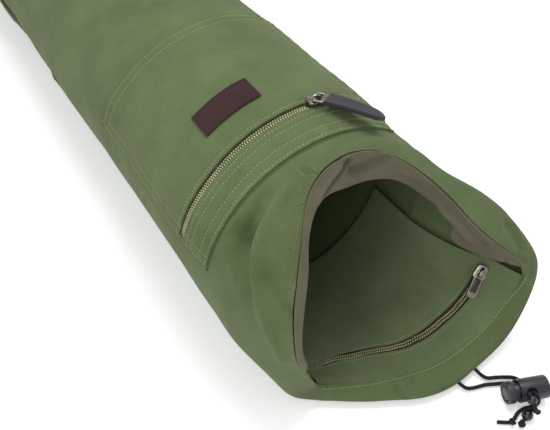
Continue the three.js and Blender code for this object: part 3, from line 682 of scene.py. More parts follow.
# %% A cloth's skin
class Skin:
    """The outer side of a cloth, to be asked for before the cloth gets its thickness."""

    def __init__(self, piece):
        mesh = piece.data
        self.points = points_of(piece)
        self.faces = BVHTree.FromPolygons(
            [tuple(p) for p in self.points], [tuple(f.vertices) for f in mesh.polygons]
        )
        layer = mesh.uv_layers["Cloth"]
        pairs = {
            (loop.vertex_index, round(spot.uv[0], 4)): spot.uv[:]
            for loop, spot in zip(mesh.loops, layer.data)
        }
        spots = [(key[0], *spot) for key, spot in pairs.items()]
        once_round = 2 * math.pi * RADIUS
        spots += [
            (owner, u - math.copysign(once_round, u), v)
            for owner, u, v in spots if abs(u) > 0.4 * once_round
        ]
        self.owners = [owner for owner, _, _ in spots]
        self.map = KDTree(len(spots))
        for k, (_, u, v) in enumerate(spots):
            self.map.insert((u, v, 0), k)
        self.map.balance()

    def at(self, turn, along):
        """A point of the cloth from its turn in degrees and its place along the map in metres."""
        turn = (turn + 180) % 360 - 180
        found = self.map.find_n((math.radians(turn) * RADIUS, along, 0), 4)
        weights = np.array([1 / (hit[2] + 1e-6) ** 2 for hit in found])
        places = np.array([self.points[self.owners[hit[1]]] for hit in found])
        return (places * weights[:, None]).sum(0) / weights.sum()

    def line(self, spots):
        return np.array([self.at(turn, along) for turn, along in spots])

    def touch(self, place):
        """The nearest spot on the cloth and the direction that it faces."""
        spot, normal, _, _ = self.faces.find_nearest(Vector(place))
        return np.array(spot), np.array(normal)


# %% [markdown]
# ## The mouth
# The tube's canvas flares out past the drawstring, folds back over itself and ends in a stitched
# hem. The solid already has that fold. The map of this cloth can't use the distance along the bag,
# because the hem turns back, so it counts rows from the neck instead: 3 rows to each ring. Its
# folds fade out towards the neck, where it is sewn to the tube.

# %% Mouth collar
RING = 0.030


def ring_line(ring):
    return NECK - ring * RING


collar = keep_side(solid_copy("mouth_collar", "mouth_collar_canvas"), (0, -252, 148), (0, 0, 1))
neck_row = points_of(collar)[:, 1] > NECK - 0.0006
collar_steps = steps_from(collar, neck_row)
map_cloth(collar, NECK - collar_steps / 3 * RING, carried_turns(collar, collar_steps))
finer(collar, 3)
LEFT_RIDGE = [
    (-34.2, -262.7, 141.8), (-43.6, -265.8, 137.5), (-53.0, -270.0, 130.8), (-59.1, -274.3, 123.7),
    (-63.1, -279.8, 115.0), (-65.6, -286.5, 102.5), (-64.6, -294.3, 86.3), (-60.9, -302.1, 64.1),
]
COLLAR_FOLDS = [
    (LEFT_RIDGE, 3.2, 2.4),
    ([(-59.7, -250.5, 117.4), (-56.0, -257.0, 119.0), (-58.2, -262.3, 114.7)], 7.5, -4.2),
    ([(-58.2, -262.3, 114.7), (-62.6, -269.6, 109.0), (-66.7, -278.3, 100.6)], 6, -3.6),
    ([(-42, -252, 133), (-50, -258, 126), (-57, -260, 117)], 5, -2.2),
    ([(-66, -252, 108), (-68, -262, 104), (-70, -272, 96)], 5, 1.8),
    ([(-60.1, -286.3, 115.3), (-57.2, -293.7, 107.2), (-54.5, -300.7, 98.6)], 3.0, -1.8),
    ([(-55, -281, 122), (-51, -288, 115), (-50, -295, 108)], 3.2, 1.3),
    ([(-66, -300, 44), (-58, -308, 40)], 3.0, -2.4),
    ([(-68, -304, 34), (-60, -311, 30)], 2.6, -2.0),
    ([(97.4, -302.9, 80.0), (102, -308, 71), (104.5, -312.4, 62.6)], 4.0, -3.4),
    ([(98.7, -313.8, 61.0), (106, -317, 52), (111.7, -319.6, 43.6)], 3.2, -2.0),
    ([(62, -262, 116), (74, -276, 100), (88, -292, 80)], 6, -2.0),
    ([(45.7, -250.6, 132.6), (45.0, -263.7, 133.0), (50.4, -270.5, 126.2)], 1.2, 0.7),
    ([(47.0, -250.6, 130.6), (47.0, -263.7, 131.0), (52.4, -270.5, 124.2)], 1.4, -0.7),
    ([(10, -250, 147), (0, -262, 146), (-12, -264, 145)], 5, 1.0),
    ([(20, -320, 4), (45, -326, 6), (70, -327, 10)], 6, 0.6),
]
fold(collar, COLLAR_FOLDS, sewn_at=NECK - 0.002)
collar_skin = Skin(collar)
dress(collar, canvas, "mouth_collar", thickness=0.0019)

# %% [markdown]
# ## The olive facing
# A softer, thinner cloth is sewn behind the hem and droops into the mouth. It is the most creased
# piece, with one sharp tuck at the upper left, small gathers at the right corner and slack between.

# %% Mouth facing
drape = keep_side(solid_copy("mouth_facing", "mouth_facing_cloth"), (0, -262, 135), (0, -1, 0))
drape_points = points_of(drape)
map_cloth(drape, np.hypot(drape_points[:, 0], drape_points[:, 2] - AXIS_HEIGHT) - drape_points[:, 1])
finer(drape, 3)
TRIM_AT, TRIM_REACH = np.array([0.066, -0.266, 0.074]), 0.022
hem_points = collar_skin.line([(turn, ring_line(3.0)) for turn in np.arange(-174, 175, 1.5)])
drape_points = points_of(drape)
nearest = np.linalg.norm(drape_points[:, None] - hem_points[None], axis=2).argmin(1)
far_away = np.linalg.norm(drape_points - TRIM_AT, axis=1)
share = 0.55 * np.exp(-((far_away / TRIM_REACH) ** 2))
place_points(drape, drape_points + (hem_points[nearest] - drape_points) * share[:, None])
FACING_FOLDS = [
    ([(2.5, -264.0, 144.5), (-5.2, -265.4, 139.6), (-15.1, -268.7, 134.6)], 1.7, -4.6),
    ([(-4.5, -264.2, 144.5), (-12.0, -266.0, 140.1), (-21.0, -269.2, 135.0)], 2.4, 2.4),
    ([(5.0, -264.3, 137.6), (15.5, -263.5, 136.1), (24.9, -265.6, 137.0)], 2.6, -3.0),
    ([(3, -264.3, 133), (15, -263.5, 131), (27, -265.6, 131)], 2.8, 2.2),
    ([(-27, -267, 138), (-34, -273, 127), (-42, -285, 116)], 2.2, -2.6),
    ([(-46, -276, 130), (-50, -284, 122)], 2.0, -2.2),
    ([(34, -268, 120), (44, -276, 110), (54, -284, 99)], 3.0, -3.2),
    ([(40, -264, 121), (50, -272, 111), (58, -280, 101)], 2.4, 2.2),
    ([(58.5, -282.1, 96.1), (68, -287, 84), (75, -294, 72)], 2.2, 2.2),
    ([(62, -290, 94), (70, -294, 82), (80, -301, 72)], 2.2, -2.6),
    ([(66, -296, 86), (70, -298, 76)], 2.0, 1.8),
    ([(76, -304, 72), (80, -304, 63)], 1.8, -2.2),
    ([(84, -309, 66), (88, -309, 58)], 1.8, 1.8),
    ([(90, -312, 60), (93, -312, 54)], 1.6, -1.8),
]
fold(drape, FACING_FOLDS)
dress(drape, facing, "mouth_facing", thickness=0.0009)

# %% [markdown]
# ## The inner pocket
# A panel of the same canvas lies inside the lower lip. It is kept as one cloth with a slit, and the
# slit's corners stay square because the subdivision is told to preserve corners.

# %% Inner pocket
inner = keep_side(solid_copy("inner_pocket", "inner_pocket_canvas"), (0, -290, 6), (0, 0, 1))
map_cloth(inner)
finer(inner, 3)
INNER_FOLDS = [
    ([(-52, -286, 20), (-40, -292, 14), (-26, -298, 10)], 5, 0.6),
    ([(20, -262, 6), (40, -268, 12), (60, -276, 24)], 8, -0.5),
]
fold(inner, INNER_FOLDS)
HEM_END = ring_line(3.0)
lip_turns = np.arange(103, 212.5, 0.5)
hem_edge = collar_skin.line([(turn, HEM_END) for turn in lip_turns])
hem_back = collar_skin.line([(turn, ring_line(2.9)) for turn in lip_turns])
hem_ups = np.array([collar_skin.touch(place)[1] for place in hem_back])
leaving = (hem_edge - hem_back) / np.linalg.norm(hem_edge - hem_back, axis=1)[:, None]
lap = -leaving * 0.0032 + hem_ups * 0.0007
even = np.ones(21) / 21
lap = np.stack([np.convolve(np.pad(part, 10, "edge"), even, "valid") for part in lap.T], 1)
inner_points = points_of(inner)
away = np.linalg.norm(inner_points[:, None] - hem_edge[None], axis=2)
share = np.exp(-((away.min(1) / 0.0045) ** 2))
inner_points += lap[away.argmin(1)] * share[:, None]
place_points(inner, inner_points)
inner_skin = Skin(inner)
# The inner pocket gets the lighter copy of the canvas, as painted light inside the mouth.
dress(inner, lining_painted_light, "inner_pocket", thickness=0.0011)

# %% [markdown]
# ## The outer pocket
# The patch pocket shares the tube's dents. Along each row of stitching the cloth is drawn down into
# a groove and puckers a little on both sides, which is what makes a seam look sewn rather than
# drawn, so the groove is part of the shape.

# %% Outer pocket
POCKET_LEFT, POCKET_RIGHT = -78, 37.7
POCKET_NEAR, POCKET_FAR, POCKET_ZIP = -0.246, -0.110, -0.221
SLIT_LEFT, SLIT_RIGHT = -75, 5
SEAM = 0.0022
SECOND_SEAM = 0.0078


def across_degrees(distance):
    return math.degrees(distance / RADIUS)


ROUND_SEAMS = [
    POCKET_NEAR + SEAM, POCKET_NEAR + SECOND_SEAM, POCKET_ZIP - 0.0055, POCKET_ZIP - 0.0098,
    POCKET_ZIP + 0.0055, POCKET_FAR - SEAM, POCKET_FAR - SECOND_SEAM,
]
LENGTH_SEAMS = [
    POCKET_LEFT + across_degrees(SEAM), POCKET_LEFT + across_degrees(SECOND_SEAM),
    POCKET_RIGHT - across_degrees(SEAM), POCKET_RIGHT - across_degrees(SECOND_SEAM),
]


def seam_grooves(points):
    turns, y = turn_of(points), points[:, 1]
    near = np.clip((POCKET_ZIP - 0.006 - y) / 0.018, 0, 1)
    run_round, run_along = np.radians(turns) * RADIUS, y
    out = -2.2 * MM * near**2 * (3 - 2 * near)
    for place in ROUND_SEAMS:
        away = (y - place) / MM
        out -= 0.40 * MM * np.exp(-((away / 1.3) ** 2))
        out += 0.16 * MM * np.sin(run_round / 0.0016 + place * 900) * np.exp(-((away / 4) ** 2))
    for turn in LENGTH_SEAMS:
        away = np.radians(turns - turn) * RADIUS / MM
        out -= 0.40 * MM * np.exp(-((away / 1.3) ** 2))
        out += 0.16 * MM * np.sin(run_along / 0.0016 + turn) * np.exp(-((away / 4) ** 2))
    return out


pocket = keep_side(solid_copy("outer_pocket", "outer_pocket_canvas"), (0, -180, 151), (0, 0, 1))
square_up(pocket, 1)
map_cloth(pocket)
finer(pocket, 3)
push_out(pocket, seam_grooves)
pocket_points = points_of(pocket)
leftwards = np.clip(-turn_of(pocket_points) / 78, 0, 1) ** 2
farwards = np.clip((pocket_points[:, 1] - POCKET_ZIP) / (POCKET_FAR - POCKET_ZIP), 0, 1) ** 2
pocket_points[:, 1] += 0.0122 * leftwards * farwards
place_points(pocket, pocket_points)
pocket_skin = Skin(pocket)
dress(pocket, canvas, "outer_pocket", thickness=0.0015)

# %% [markdown]
# ## The far end
# The picture leaves out the far end, so it is finished plainly: a round panel, slightly domed by
# the slack in it, with a turned edge.

# %% End panel
END_RING = 0.012
END_DOME = 0.003
END_MIDDLE = 0.33575
end = solid_copy("end_panel", "end_panel_canvas")
edit(end)
leave()
for face in end.data.polygons:
    face.select = abs(face.normal.y) > 0.9
bpy.ops.object.mode_set(mode="EDIT")
bpy.ops.mesh.select_mode(type="FACE")
bpy.ops.mesh.dissolve_limited(angle_limit=math.radians(5))
for _ in range(5):
    bpy.ops.mesh.inset(thickness=END_RING, depth=0)
leave()
modify(end, "SUBSURF", levels=2, render_levels=2)
end_points = points_of(end)
end_reach = np.linalg.norm(end_points[:, [0, 2]] - (0, AXIS_HEIGHT), axis=1) / RADIUS
dome = END_DOME * np.clip(1 - end_reach**2, 0, 1) * np.sign(end_points[:, 1] - END_MIDDLE)
end_points[:, 1] += dome
place_points(end, end_points)
map_flat(end)
dress(end, canvas, "end_panel", angle=50)

# %% [markdown]
# ## The shoulder strap
# The strap is a folded band of canvas. It is sewn to the left side, slides under the bag and comes
# up again under the lip, so only its edge shows from the front.

# %% Shoulder strap
strap = solid_copy("shoulder_strap", "shoulder_strap_canvas")
edit(strap)
leave()
strap_points = points_of(strap)
for e in strap.data.edges:
    run = strap_points[e.vertices[1]] - strap_points[e.vertices[0]]
    long_edge = np.linalg.norm(run) > 0.012 and abs(run[1]) < 0.6 * np.linalg.norm(run)
    e.select = bool(long_edge)
bpy.ops.object.mode_set(mode="EDIT")
bpy.ops.mesh.select_mode(type="EDGE")
bpy.ops.mesh.subdivide(number_cuts=5, quadcorner="INNERVERT")
leave()
strap_points = points_of(strap)
strap_out = np.hypot(strap_points[:, 0], strap_points[:, 2] - AXIS_HEIGHT)
STRAP_SLICE = 0.008
STRAP_LEANS = (0.104, 0.30)
STRAP_OFF_TUBE = 0.0032
for y in np.arange(*STRAP_LEANS, STRAP_SLICE):
    near_by = np.abs(strap_points[:, 1] - y) <= STRAP_SLICE / 2
    if near_by.any():
        low, high = strap_points[near_by, 2].min(), strap_points[near_by, 2].max()
        up = np.clip((strap_points[near_by, 2] - low) / max(high - low, 0.001), 0, 1)
        excess = max(0.0, strap_out[near_by].max() - RADIUS - STRAP_OFF_TUBE)
        inwards = excess * (0.35 + 0.65 * up) * min(1, (y - 0.096) / 0.03)
        scale = 1 - inwards / strap_out[near_by]
        strap_points[near_by, 0] *= scale
        lifted = AXIS_HEIGHT + (strap_points[near_by, 2] - AXIS_HEIGHT) * scale
        strap_points[near_by, 2] = np.maximum(lifted, 0)
place_points(strap, strap_points)
modify(strap, "BEVEL", width=0.0005, segments=2, limit_method="ANGLE", angle_limit=math.radians(50))
map_cloth(strap)
dress(strap, canvas, "shoulder_strap", angle=40)

# %% [markdown]
# ## The label
# A woven label is sewn flat to the pocket. It carries no mark: only its weave, its folded edge and
# its stitching.

# %% Label
label = keep_side(solid_copy("label", "label_woven"), (-20, -190, 151), (0, 0, 1))
square_up(label, 1)
map_cloth(label)
finer(label, 3)
push_out(label)
label_skin = Skin(label)
modify(label, "SOLIDIFY", thickness=0.0007, offset=-1)
modify(label, "BEVEL", width=0.0002, segments=2, limit_method="ANGLE")
dress(label, woven, "label", angle=50)

# %% [markdown]
# ## Thread
# A stitch is a short thread that dips into the cloth at both ends. One is modelled as a stretched
# ball with few faces, and each row of stitches is one mesh of copies, laid along a line on the skin
# of the cloth and turned to lie flat on it.


# %% One small shape, repeated along a line
def small_ball(sides, rings):
    bpy.ops.object.select_all(action="DESELECT")
    bpy.ops.mesh.primitive_uv_sphere_add(segments=sides, ring_count=rings, radius=0.5)
    ball = bpy.context.object
    shape = points_of(ball), [tuple(f.vertices) for f in ball.data.polygons]
    bpy.data.objects.remove(ball)
    return shape


def small_block(bevel):
    bpy.ops.object.select_all(action="DESELECT")
    bpy.ops.mesh.primitive_cube_add(size=1)
    block = bpy.context.object
    modify(block, "BEVEL", width=bevel, segments=1)
    shape = points_of(block), [tuple(f.vertices) for f in block.data.polygons]
    bpy.data.objects.remove(block)
    return shape


def repeated(name, shape, places, size, material, body="bag"):
    """One mesh of copies. Each place is a point with the directions along, across and up."""
    points, faces = shape
    points = points * np.array(size)
    all_points, all_faces = [], []
    for k, (place, along, across, up) in enumerate(places):
        all_points.append(place + points @ np.array([along, across, up]))
        all_faces += [tuple(i + k * len(points) for i in face) for face in faces]
    mesh = bpy.data.meshes.new(name)
    mesh.from_pydata(np.vstack(all_points).tolist(), [], all_faces)
    mesh.validate()
    piece = bpy.data.objects.new(name, mesh)
    bpy.context.scene.collection.objects.link(piece)
    smooth(piece, 60)
    mesh.materials.append(material)
    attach(piece, body)
    print(name, len(places), "copies,", len(all_faces), "faces")
    return piece


def laid_along(line, skin, pitch, lift=0.0):
    """Places a pitch apart along a line, dropped on to a skin and lifted off it."""
    row = evenly(line, pitch)
    places = []
    for a, b in zip(row, row[1:]):
        spot, up = skin.touch((a + b) / 2)
        along = (b - a) - up * ((b - a) @ up)
        along /= np.linalg.norm(along)
        places.append((spot + up * lift, along, np.cross(up, along), up))
    return places


STITCH = small_ball(6, 5)
STITCH_PITCH = 0.0024
STITCH_SIZE = (0.0018, 0.00058, 0.0005)


def sew(name, lines, skin, material=None, pitch=STITCH_PITCH, size=STITCH_SIZE, body="bag"):
    places = [spot for line in lines for spot in laid_along(line, skin, pitch)]
    return repeated(name, STITCH, places, size, material or thread, body)


# %% Rows of stitches on the outer pocket
def round_row(skin, y, start, stop, steps=60):
    return skin.line([(turn, y) for turn in np.linspace(start, stop, steps)])


def length_row(skin, turn, start, stop, steps=40):
    return skin.line([(turn, y) for y in np.linspace(start, stop, steps)])


pocket_rows = [
    round_row(pocket_skin, y, POCKET_LEFT + 1.6, POCKET_RIGHT - 1.6) for y in ROUND_SEAMS
] + [
    length_row(pocket_skin, turn, POCKET_NEAR + SEAM, POCKET_FAR - SEAM) for turn in LENGTH_SEAMS
]
sew("pocket_stitching", pocket_rows, pocket_skin)

# %% [markdown]
# The hem is held by one long row round the mouth, close to where the olive cloth starts. On the
# inner pocket two rows hold the zip and one closes the pocket's left end.

# %% Rows of stitches at the mouth
HEM_ROW = [
    (-160, 2.93), (-100, 2.90), (-60, 2.88), (-35, 2.86), (-20, 2.93), (0, 2.985), (104, 2.985),
]


def hem_ring(turn):
    return np.interp(turn, [row[0] for row in HEM_ROW], [row[1] for row in HEM_ROW])


hem_row = collar_skin.line([(turn, ring_line(hem_ring(turn))) for turn in np.arange(-149, 103, 1.5)])
sew("hem_stitching", [hem_row], collar_skin, hem_thread, size=(0.0018, 0.0006, 0.0005))
lip_row = hem_edge[4:-4] - leaving[4:-4] * 0.0016 + hem_ups[4:-4] * 0.0007
sew("lip_stitching", [lip_row], inner_skin)

INNER_SLIT = [(104, 1.25), (125, 1.20), (147, 1.19), (168, 1.10), (190, 1.06), (205, 1.18)]


def slit_ring(turn):
    return np.interp(turn, [row[0] for row in INNER_SLIT], [row[1] for row in INNER_SLIT])


def inner_line(offset, start, stop, step=2.0):
    return collar_skin.line(
        [(turn, ring_line(slit_ring(turn) + offset)) for turn in np.arange(start, stop, step)]
    )


inner_rows = [inner_line(0.085, 107, 204), inner_line(-0.085, 107, 204)]
inner_rows.append(
    collar_skin.line([(205.5, ring_line(ring)) for ring in np.linspace(1.08, 2.6, 24)])
)
sew("inner_pocket_stitching", inner_rows, inner_skin, pitch=0.0019, size=(0.0014, 0.0005, 0.00045))

# %% [markdown]
# ## The zips
# A zip is a woven tape with two rows of teeth that lock into each other. The tape is a copy of its
# solid with the raised band pressed down, and the teeth are small bevelled blocks, a pair to each
# pitch, with one row half a pitch behind the other.

# %% Zip tapes and teeth
OUTER_TAPE_TOP = RADIUS + 0.0014
TEETH_DOWN = 0.0010


def outer_tape_cloth():
    piece = solid_copy("outer_zip_tape", "outer_zip_tape_woven")
    points = points_of(piece)
    angle = np.radians(turn_of(points))
    out = np.hypot(points[:, 0], points[:, 2] - AXIS_HEIGHT)
    drop = np.where(out > OUTER_TAPE_TOP + 0.0006, TEETH_DOWN, 0)
    points[:, 0] -= np.sin(angle) * drop
    points[:, 2] -= np.cos(angle) * drop
    place_points(piece, points)
    push_out(piece)
    return piece


def inner_tape_cloth():
    piece = solid_copy("inner_zip_tape", "inner_zip_tape_woven")
    points = points_of(piece)
    for k, point in enumerate(points):
        spot, up = collar_skin.touch(point)
        if np.linalg.norm(point - spot) > 0.0048:
            points[k] = point + up * TEETH_DOWN
    place_points(piece, points)
    return piece


for piece, node_name in ((outer_tape_cloth(), "outer_zip_tape"), (inner_tape_cloth(), "inner_zip_tape")):
    dress(piece, tape, node_name, angle=40)
    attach(piece, "bag")

TOOTH = small_block(0.22)
TOOTH_PITCH = 0.0015
TOOTH_LONG, TOOTH_HIGH = 0.00085, 0.0012


def zip_teeth(name, line, ups, rows):
    """Rows of teeth along a line. Each row is an offset across it and the width of its teeth."""
    heading = np.gradient(line, axis=0)
    places = []
    for k in range(len(line)):
        up = ups[k] / np.linalg.norm(ups[k])
        along = heading[k] - up * (heading[k] @ up)
        along /= np.linalg.norm(along)
        across = np.cross(up, along)
        offset, wide = rows[k % len(rows)]
        share = wide / rows[0][1]
        places.append((line[k] + across * offset, along, across * share, up))
    return repeated(name, TOOTH, places, (TOOTH_LONG, rows[0][1], TOOTH_HIGH), coil)


outer_turns = np.arange(SLIT_LEFT + 1.2, SLIT_RIGHT - 1.5, across_degrees(TOOTH_PITCH / 2))
outer_line = around(outer_turns, OUTER_TAPE_TOP + 0.0010, POCKET_ZIP)
outer_ups = around(outer_turns, 1.0, 0.0) - around(outer_turns, 0.0, 0.0)
outer_line += outer_ups * slack(outer_line)[:, None]
zip_teeth("outer_zip_teeth", outer_line, outer_ups, [(-0.0014, 0.0023), (0.0006, 0.0011)])

INNER_TEETH_UP = 0.0060
inner_base = evenly(inner_line(0.0, 112, 199), TOOTH_PITCH / 2)
inner_spots = [collar_skin.touch(place) for place in inner_base]
inner_ups = np.array([-up for _, up in inner_spots])
inner_teeth_line = np.array([spot for spot, _ in inner_spots]) + inner_ups * INNER_TEETH_UP
zip_teeth("inner_zip_teeth", inner_teeth_line, inner_ups, [(-0.0009, 0.0012), (0.0009, 0.0012)])

# %% Stitches on the label
LABEL_LEFT, LABEL_RIGHT = -34.6, -9.3
LABEL_NEAR, LABEL_FAR = -0.1992, -0.1822
label_rows = [
    round_row(label_skin, LABEL_NEAR, LABEL_LEFT, LABEL_RIGHT, 20),
    round_row(label_skin, LABEL_FAR, LABEL_LEFT, LABEL_RIGHT, 20),
    length_row(label_skin, LABEL_LEFT, LABEL_NEAR, LABEL_FAR, 12),
    length_row(label_skin, LABEL_RIGHT, LABEL_NEAR, LABEL_FAR, 12),
]
sew("label_stitching", label_rows, label_skin, label_thread, pitch=0.0024, size=(0.0018, 0.0006, 0.0004))

# %% [markdown]
# ## The sliders
# A slider is a small cast shield with an arch on it that the pull hangs from. Its place and its
# three directions come from the solid: the spread of the solid's points is longest along the zip
# and shortest away from the cloth.


# %% Frames of the hard pieces
def frame_of(node_name):
    """The middle of a solid and its directions, longest first."""
    piece = solid_copy(node_name, "measured")
    points = points_of(piece)
    bpy.data.objects.remove(piece)
    middle = (points.max(0) + points.min(0)) / 2
    for _ in range(2):
        spread = np.linalg.eigh(np.cov((points - middle).T))[1][:, ::-1]
        local = (points - middle) @ spread
        middle = middle + spread @ ((local.max(0) + local.min(0)) / 2)
    local = (points - middle) @ spread
    return middle, spread, local


def slider_frame(node_name):
    middle, spread, local = frame_of(node_name)
    wide = np.abs(local[:, 1]) > 0.9 * np.abs(local[:, 1]).max()
    if local[wide, 2].mean() > 0:
        spread[:, 2] = -spread[:, 2]
        local[:, 2] = -local[:, 2]
    if np.linalg.det(spread) < 0:
        spread[:, 1] = -spread[:, 1]
    matrix = Matrix(spread.tolist()).to_4x4()
    matrix.translation = Vector(middle + spread[:, 2] * local[:, 2].min())
    return matrix


def put(piece, matrix, name, material, body):
    piece.data.transform(matrix)
    piece.name = name
    piece.data.name = name
    piece.data.materials.clear()
    piece.data.materials.append(material)
    smooth(piece, 40)
    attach(piece, body)
    return piece


def joined(parts):
    bpy.ops.object.select_all(action="DESELECT")
    for part in parts:
        part.select_set(True)
    bpy.context.view_layer.objects.active = parts[0]
    bpy.ops.object.join()
    return bpy.context.object


def block(size, place, bevel=0.0):
    bpy.ops.object.select_all(action="DESELECT")
    bpy.ops.mesh.primitive_cube_add(size=1, location=place, scale=size)
    piece = bpy.context.object
    bpy.ops.object.transform_apply(location=True, rotation=True, scale=True)
    if bevel:
        modify(piece, "BEVEL", width=bevel, segments=3)
    return piece


# %% Zip sliders
SHIELD_LONG, SHIELD_WIDE, SHIELD_HIGH = 0.010, 0.008, 0.0024
SHIELD_CORNER = 0.0024
ARCH_RADIUS, ARCH_WIRE = 0.00275, 0.00062


def zip_slider(node_name, name):
    matrix = slider_frame(node_name)
    shield = block((SHIELD_LONG, SHIELD_WIDE, SHIELD_HIGH), (0, 0, SHIELD_HIGH / 2))
    edit(shield)
    bpy.ops.mesh.select_mode(type="EDGE")
    leave()
    for edge in shield.data.edges:
        a, b = (shield.data.vertices[k].co for k in edge.vertices)
        edge.select = abs(a.z - b.z) > 0.001
    bpy.ops.object.mode_set(mode="EDIT")
    bpy.ops.mesh.bevel(offset=SHIELD_CORNER, segments=4)
    leave()
    points = points_of(shield)
    points[:, 1] *= 1 - 0.22 * np.clip(-points[:, 0] / (SHIELD_LONG / 2), 0, 1)
    place_points(shield, points)
    modify(shield, "BEVEL", width=0.0005, segments=3, limit_method="ANGLE", angle_limit=math.radians(60))
    bpy.ops.object.select_all(action="DESELECT")
    bpy.ops.mesh.primitive_torus_add(
        major_radius=ARCH_RADIUS, minor_radius=ARCH_WIRE, major_segments=32, minor_segments=12,
        location=(0, 0, SHIELD_HIGH), rotation=(math.pi / 2, 0, 0),
    )
    arch = bpy.context.object
    arch.scale = (1.08, 1.0, 1.5)
    bpy.ops.object.transform_apply(location=True, rotation=True, scale=True)
    points = points_of(arch)
    points[:, 2] = SHIELD_HIGH + (points[:, 2] - SHIELD_HIGH) * 0.88
    place_points(arch, points)
    rib = block((0.0016, 0.0058, 0.0006), (0.0036, 0, 0.0026), 0.0002)
    return put(joined([shield, arch, rib]), matrix, name, nickel, "bag")


for node_name in ("outer_zip_slider", "inner_zip_slider"):
    slider = zip_slider(node_name, node_name + "_cast")
    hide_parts(node_name)
    tell(slider)

# %% [markdown]
# ## The pulls
# The outer zip has a wire link and a stitched tab. The inner one has a plain stamped puller with a
# bright rim, a sunk panel whose dark colour is a painted reflection, and a round boss at its end.

# %% Wire link
wire = solid_copy("outer_pull_link", "outer_pull_link_wire")
edit(wire, "SELECT")
bpy.ops.mesh.dissolve_limited(angle_limit=math.radians(4))
leave()
modify(wire, "BEVEL", width=0.0005, segments=3, limit_method="ANGLE", angle_limit=math.radians(50))
dress(wire, nickel, "outer_pull_link")
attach(wire, "outer_pull")

# %% Stitched tab
tab = keep_side(solid_copy("outer_pull_tab", "outer_pull_tab_stitched"), (40, -230, 150), (0, 0, 1))
map_cloth(tab)
finer(tab, 3)
tab_middle, tab_spread = frame_of("outer_pull_tab")[:2]
if tab_spread[:, 0] @ (tab_middle - frame_of("outer_zip_slider")[0]) < 0:
    tab_spread = -tab_spread
TAB_HALF, TAB_REACH, TAB_ROUND = 0.00525, 0.01575, 0.0042
tab_points = (points_of(tab) - tab_middle) @ tab_spread
past = np.clip((tab_points[:, 0] - (TAB_REACH - TAB_ROUND)) / TAB_ROUND, 0, 1)
tab_points[:, 1] *= 1 - (1 - np.sqrt(1 - past**2)) * TAB_ROUND / TAB_HALF
place_points(tab, tab_points @ tab_spread.T + tab_middle)
tab_skin = Skin(tab)
modify(tab, "SOLIDIFY", thickness=0.0023, offset=-1)
modify(tab, "BEVEL", width=0.0005, segments=3, limit_method="ANGLE", angle_limit=math.radians(50))
dress(tab, tab_black, "outer_pull_tab", angle=50)
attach(tab, "outer_pull")


def tab_row(start, stop):
    ends = [tab_middle + tab_spread @ np.array([x, y, 0]) for x, y in (start, stop)]
    return np.linspace(*ends, 12)


TAB_SIDE = 0.0038
tab_rows = [
    tab_row((-0.0142, side * TAB_SIDE), (0.0122, side * TAB_SIDE)) for side in (-1, 1)
] + [tab_row((-0.0135, -0.0033), (-0.0135, 0.0033)), tab_row((0.0132, -0.0022), (0.0132, 0.0022))]
sew(
    "tab_stitching", tab_rows, tab_skin, tab_thread, pitch=0.0024,
    size=(0.0018, 0.0006, 0.0005), body="outer_pull",
)

# %% Stamped puller
puller_middle, puller_spread = frame_of("inner_zip_puller")[:2]
if puller_spread[:, 2] @ inner_ups[4] < 0:
    puller_spread[:, 2] = -puller_spread[:, 2]
slider_middle = frame_of("inner_zip_slider")[0]
if puller_spread[:, 0] @ (puller_middle - slider_middle) < 0:
    puller_spread[:, 0] = -puller_spread[:, 0]
if np.linalg.det(puller_spread) < 0:
    puller_spread[:, 1] = -puller_spread[:, 1]
puller_matrix = Matrix(puller_spread.tolist()).to_4x4()
puller_matrix.translation = Vector(puller_middle)

puller = solid_copy("inner_zip_puller", "inner_zip_puller_stamped")
edit(puller, "SELECT")
bpy.ops.mesh.dissolve_limited(angle_limit=math.radians(4))
leave()
modify(puller, "BEVEL", width=0.00035, segments=3, limit_method="ANGLE", angle_limit=math.radians(50))
dress(puller, nickel, "inner_zip_puller", angle=40)
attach(puller, "inner_pull")

PANEL_SIZE = (0.0088, 0.0041, 0.0005)
BOSS_AT, BOSS_RADIUS, BOSS_EDGE = 0.0071, 0.0013, 0.0004
# A dark panel over most of the puller, leaving thin bright rims: a painted reflection.
panel = block(PANEL_SIZE, (0.0008, 0, 0.0006), 0.0002)
put(panel, puller_matrix, "puller_panel", puller_reflection_paint, "inner_pull")
bpy.ops.object.select_all(action="DESELECT")
bpy.ops.mesh.primitive_torus_add(
    major_radius=BOSS_RADIUS, minor_radius=BOSS_EDGE, major_segments=28, minor_segments=10,
    location=(BOSS_AT, 0, 0.0007),
)
boss = bpy.context.object
bpy.ops.object.transform_apply(location=True, rotation=True, scale=True)
put(boss, puller_matrix, "puller_boss", nickel, "inner_pull")
tell(panel, boss)

# %% [markdown]
# ## The cord lock
# The lock is a moulded barrel with a sprung plunger in it. Both have a hole right through, and the
# cords are pinched where the holes don't quite meet. The barrel is a cylinder whose near face is
# inset and pushed in to hollow it. The cross hole is cut by a modifier and its edge is rounded.


# %% Cord lock
def lathe(radius, start, stop, sides=64):
    bpy.ops.object.select_all(action="DESELECT")
    bpy.ops.mesh.primitive_cylinder_add(
        vertices=sides, radius=radius, depth=stop - start,
        location=((start + stop) / 2, 0, 0), rotation=(0, math.pi / 2, 0),
    )
    piece = bpy.context.object
    bpy.ops.object.transform_apply(location=True, rotation=True, scale=True)
    return piece


def select_faces(piece, test):
    edit(piece)
    bpy.ops.mesh.select_mode(type="FACE")
    leave()
    for face in piece.data.polygons:
        face.select = bool(test(face))
    bpy.ops.object.mode_set(mode="EDIT")


def cut(piece, cutter):
    modifier = piece.modifiers.new("Cut", "BOOLEAN")
    modifier.operation = "DIFFERENCE"
    modifier.solver = "EXACT"
    modifier.object = cutter
    only(piece)
    bpy.ops.object.modifier_apply(modifier=modifier.name)
    bpy.data.objects.remove(cutter)


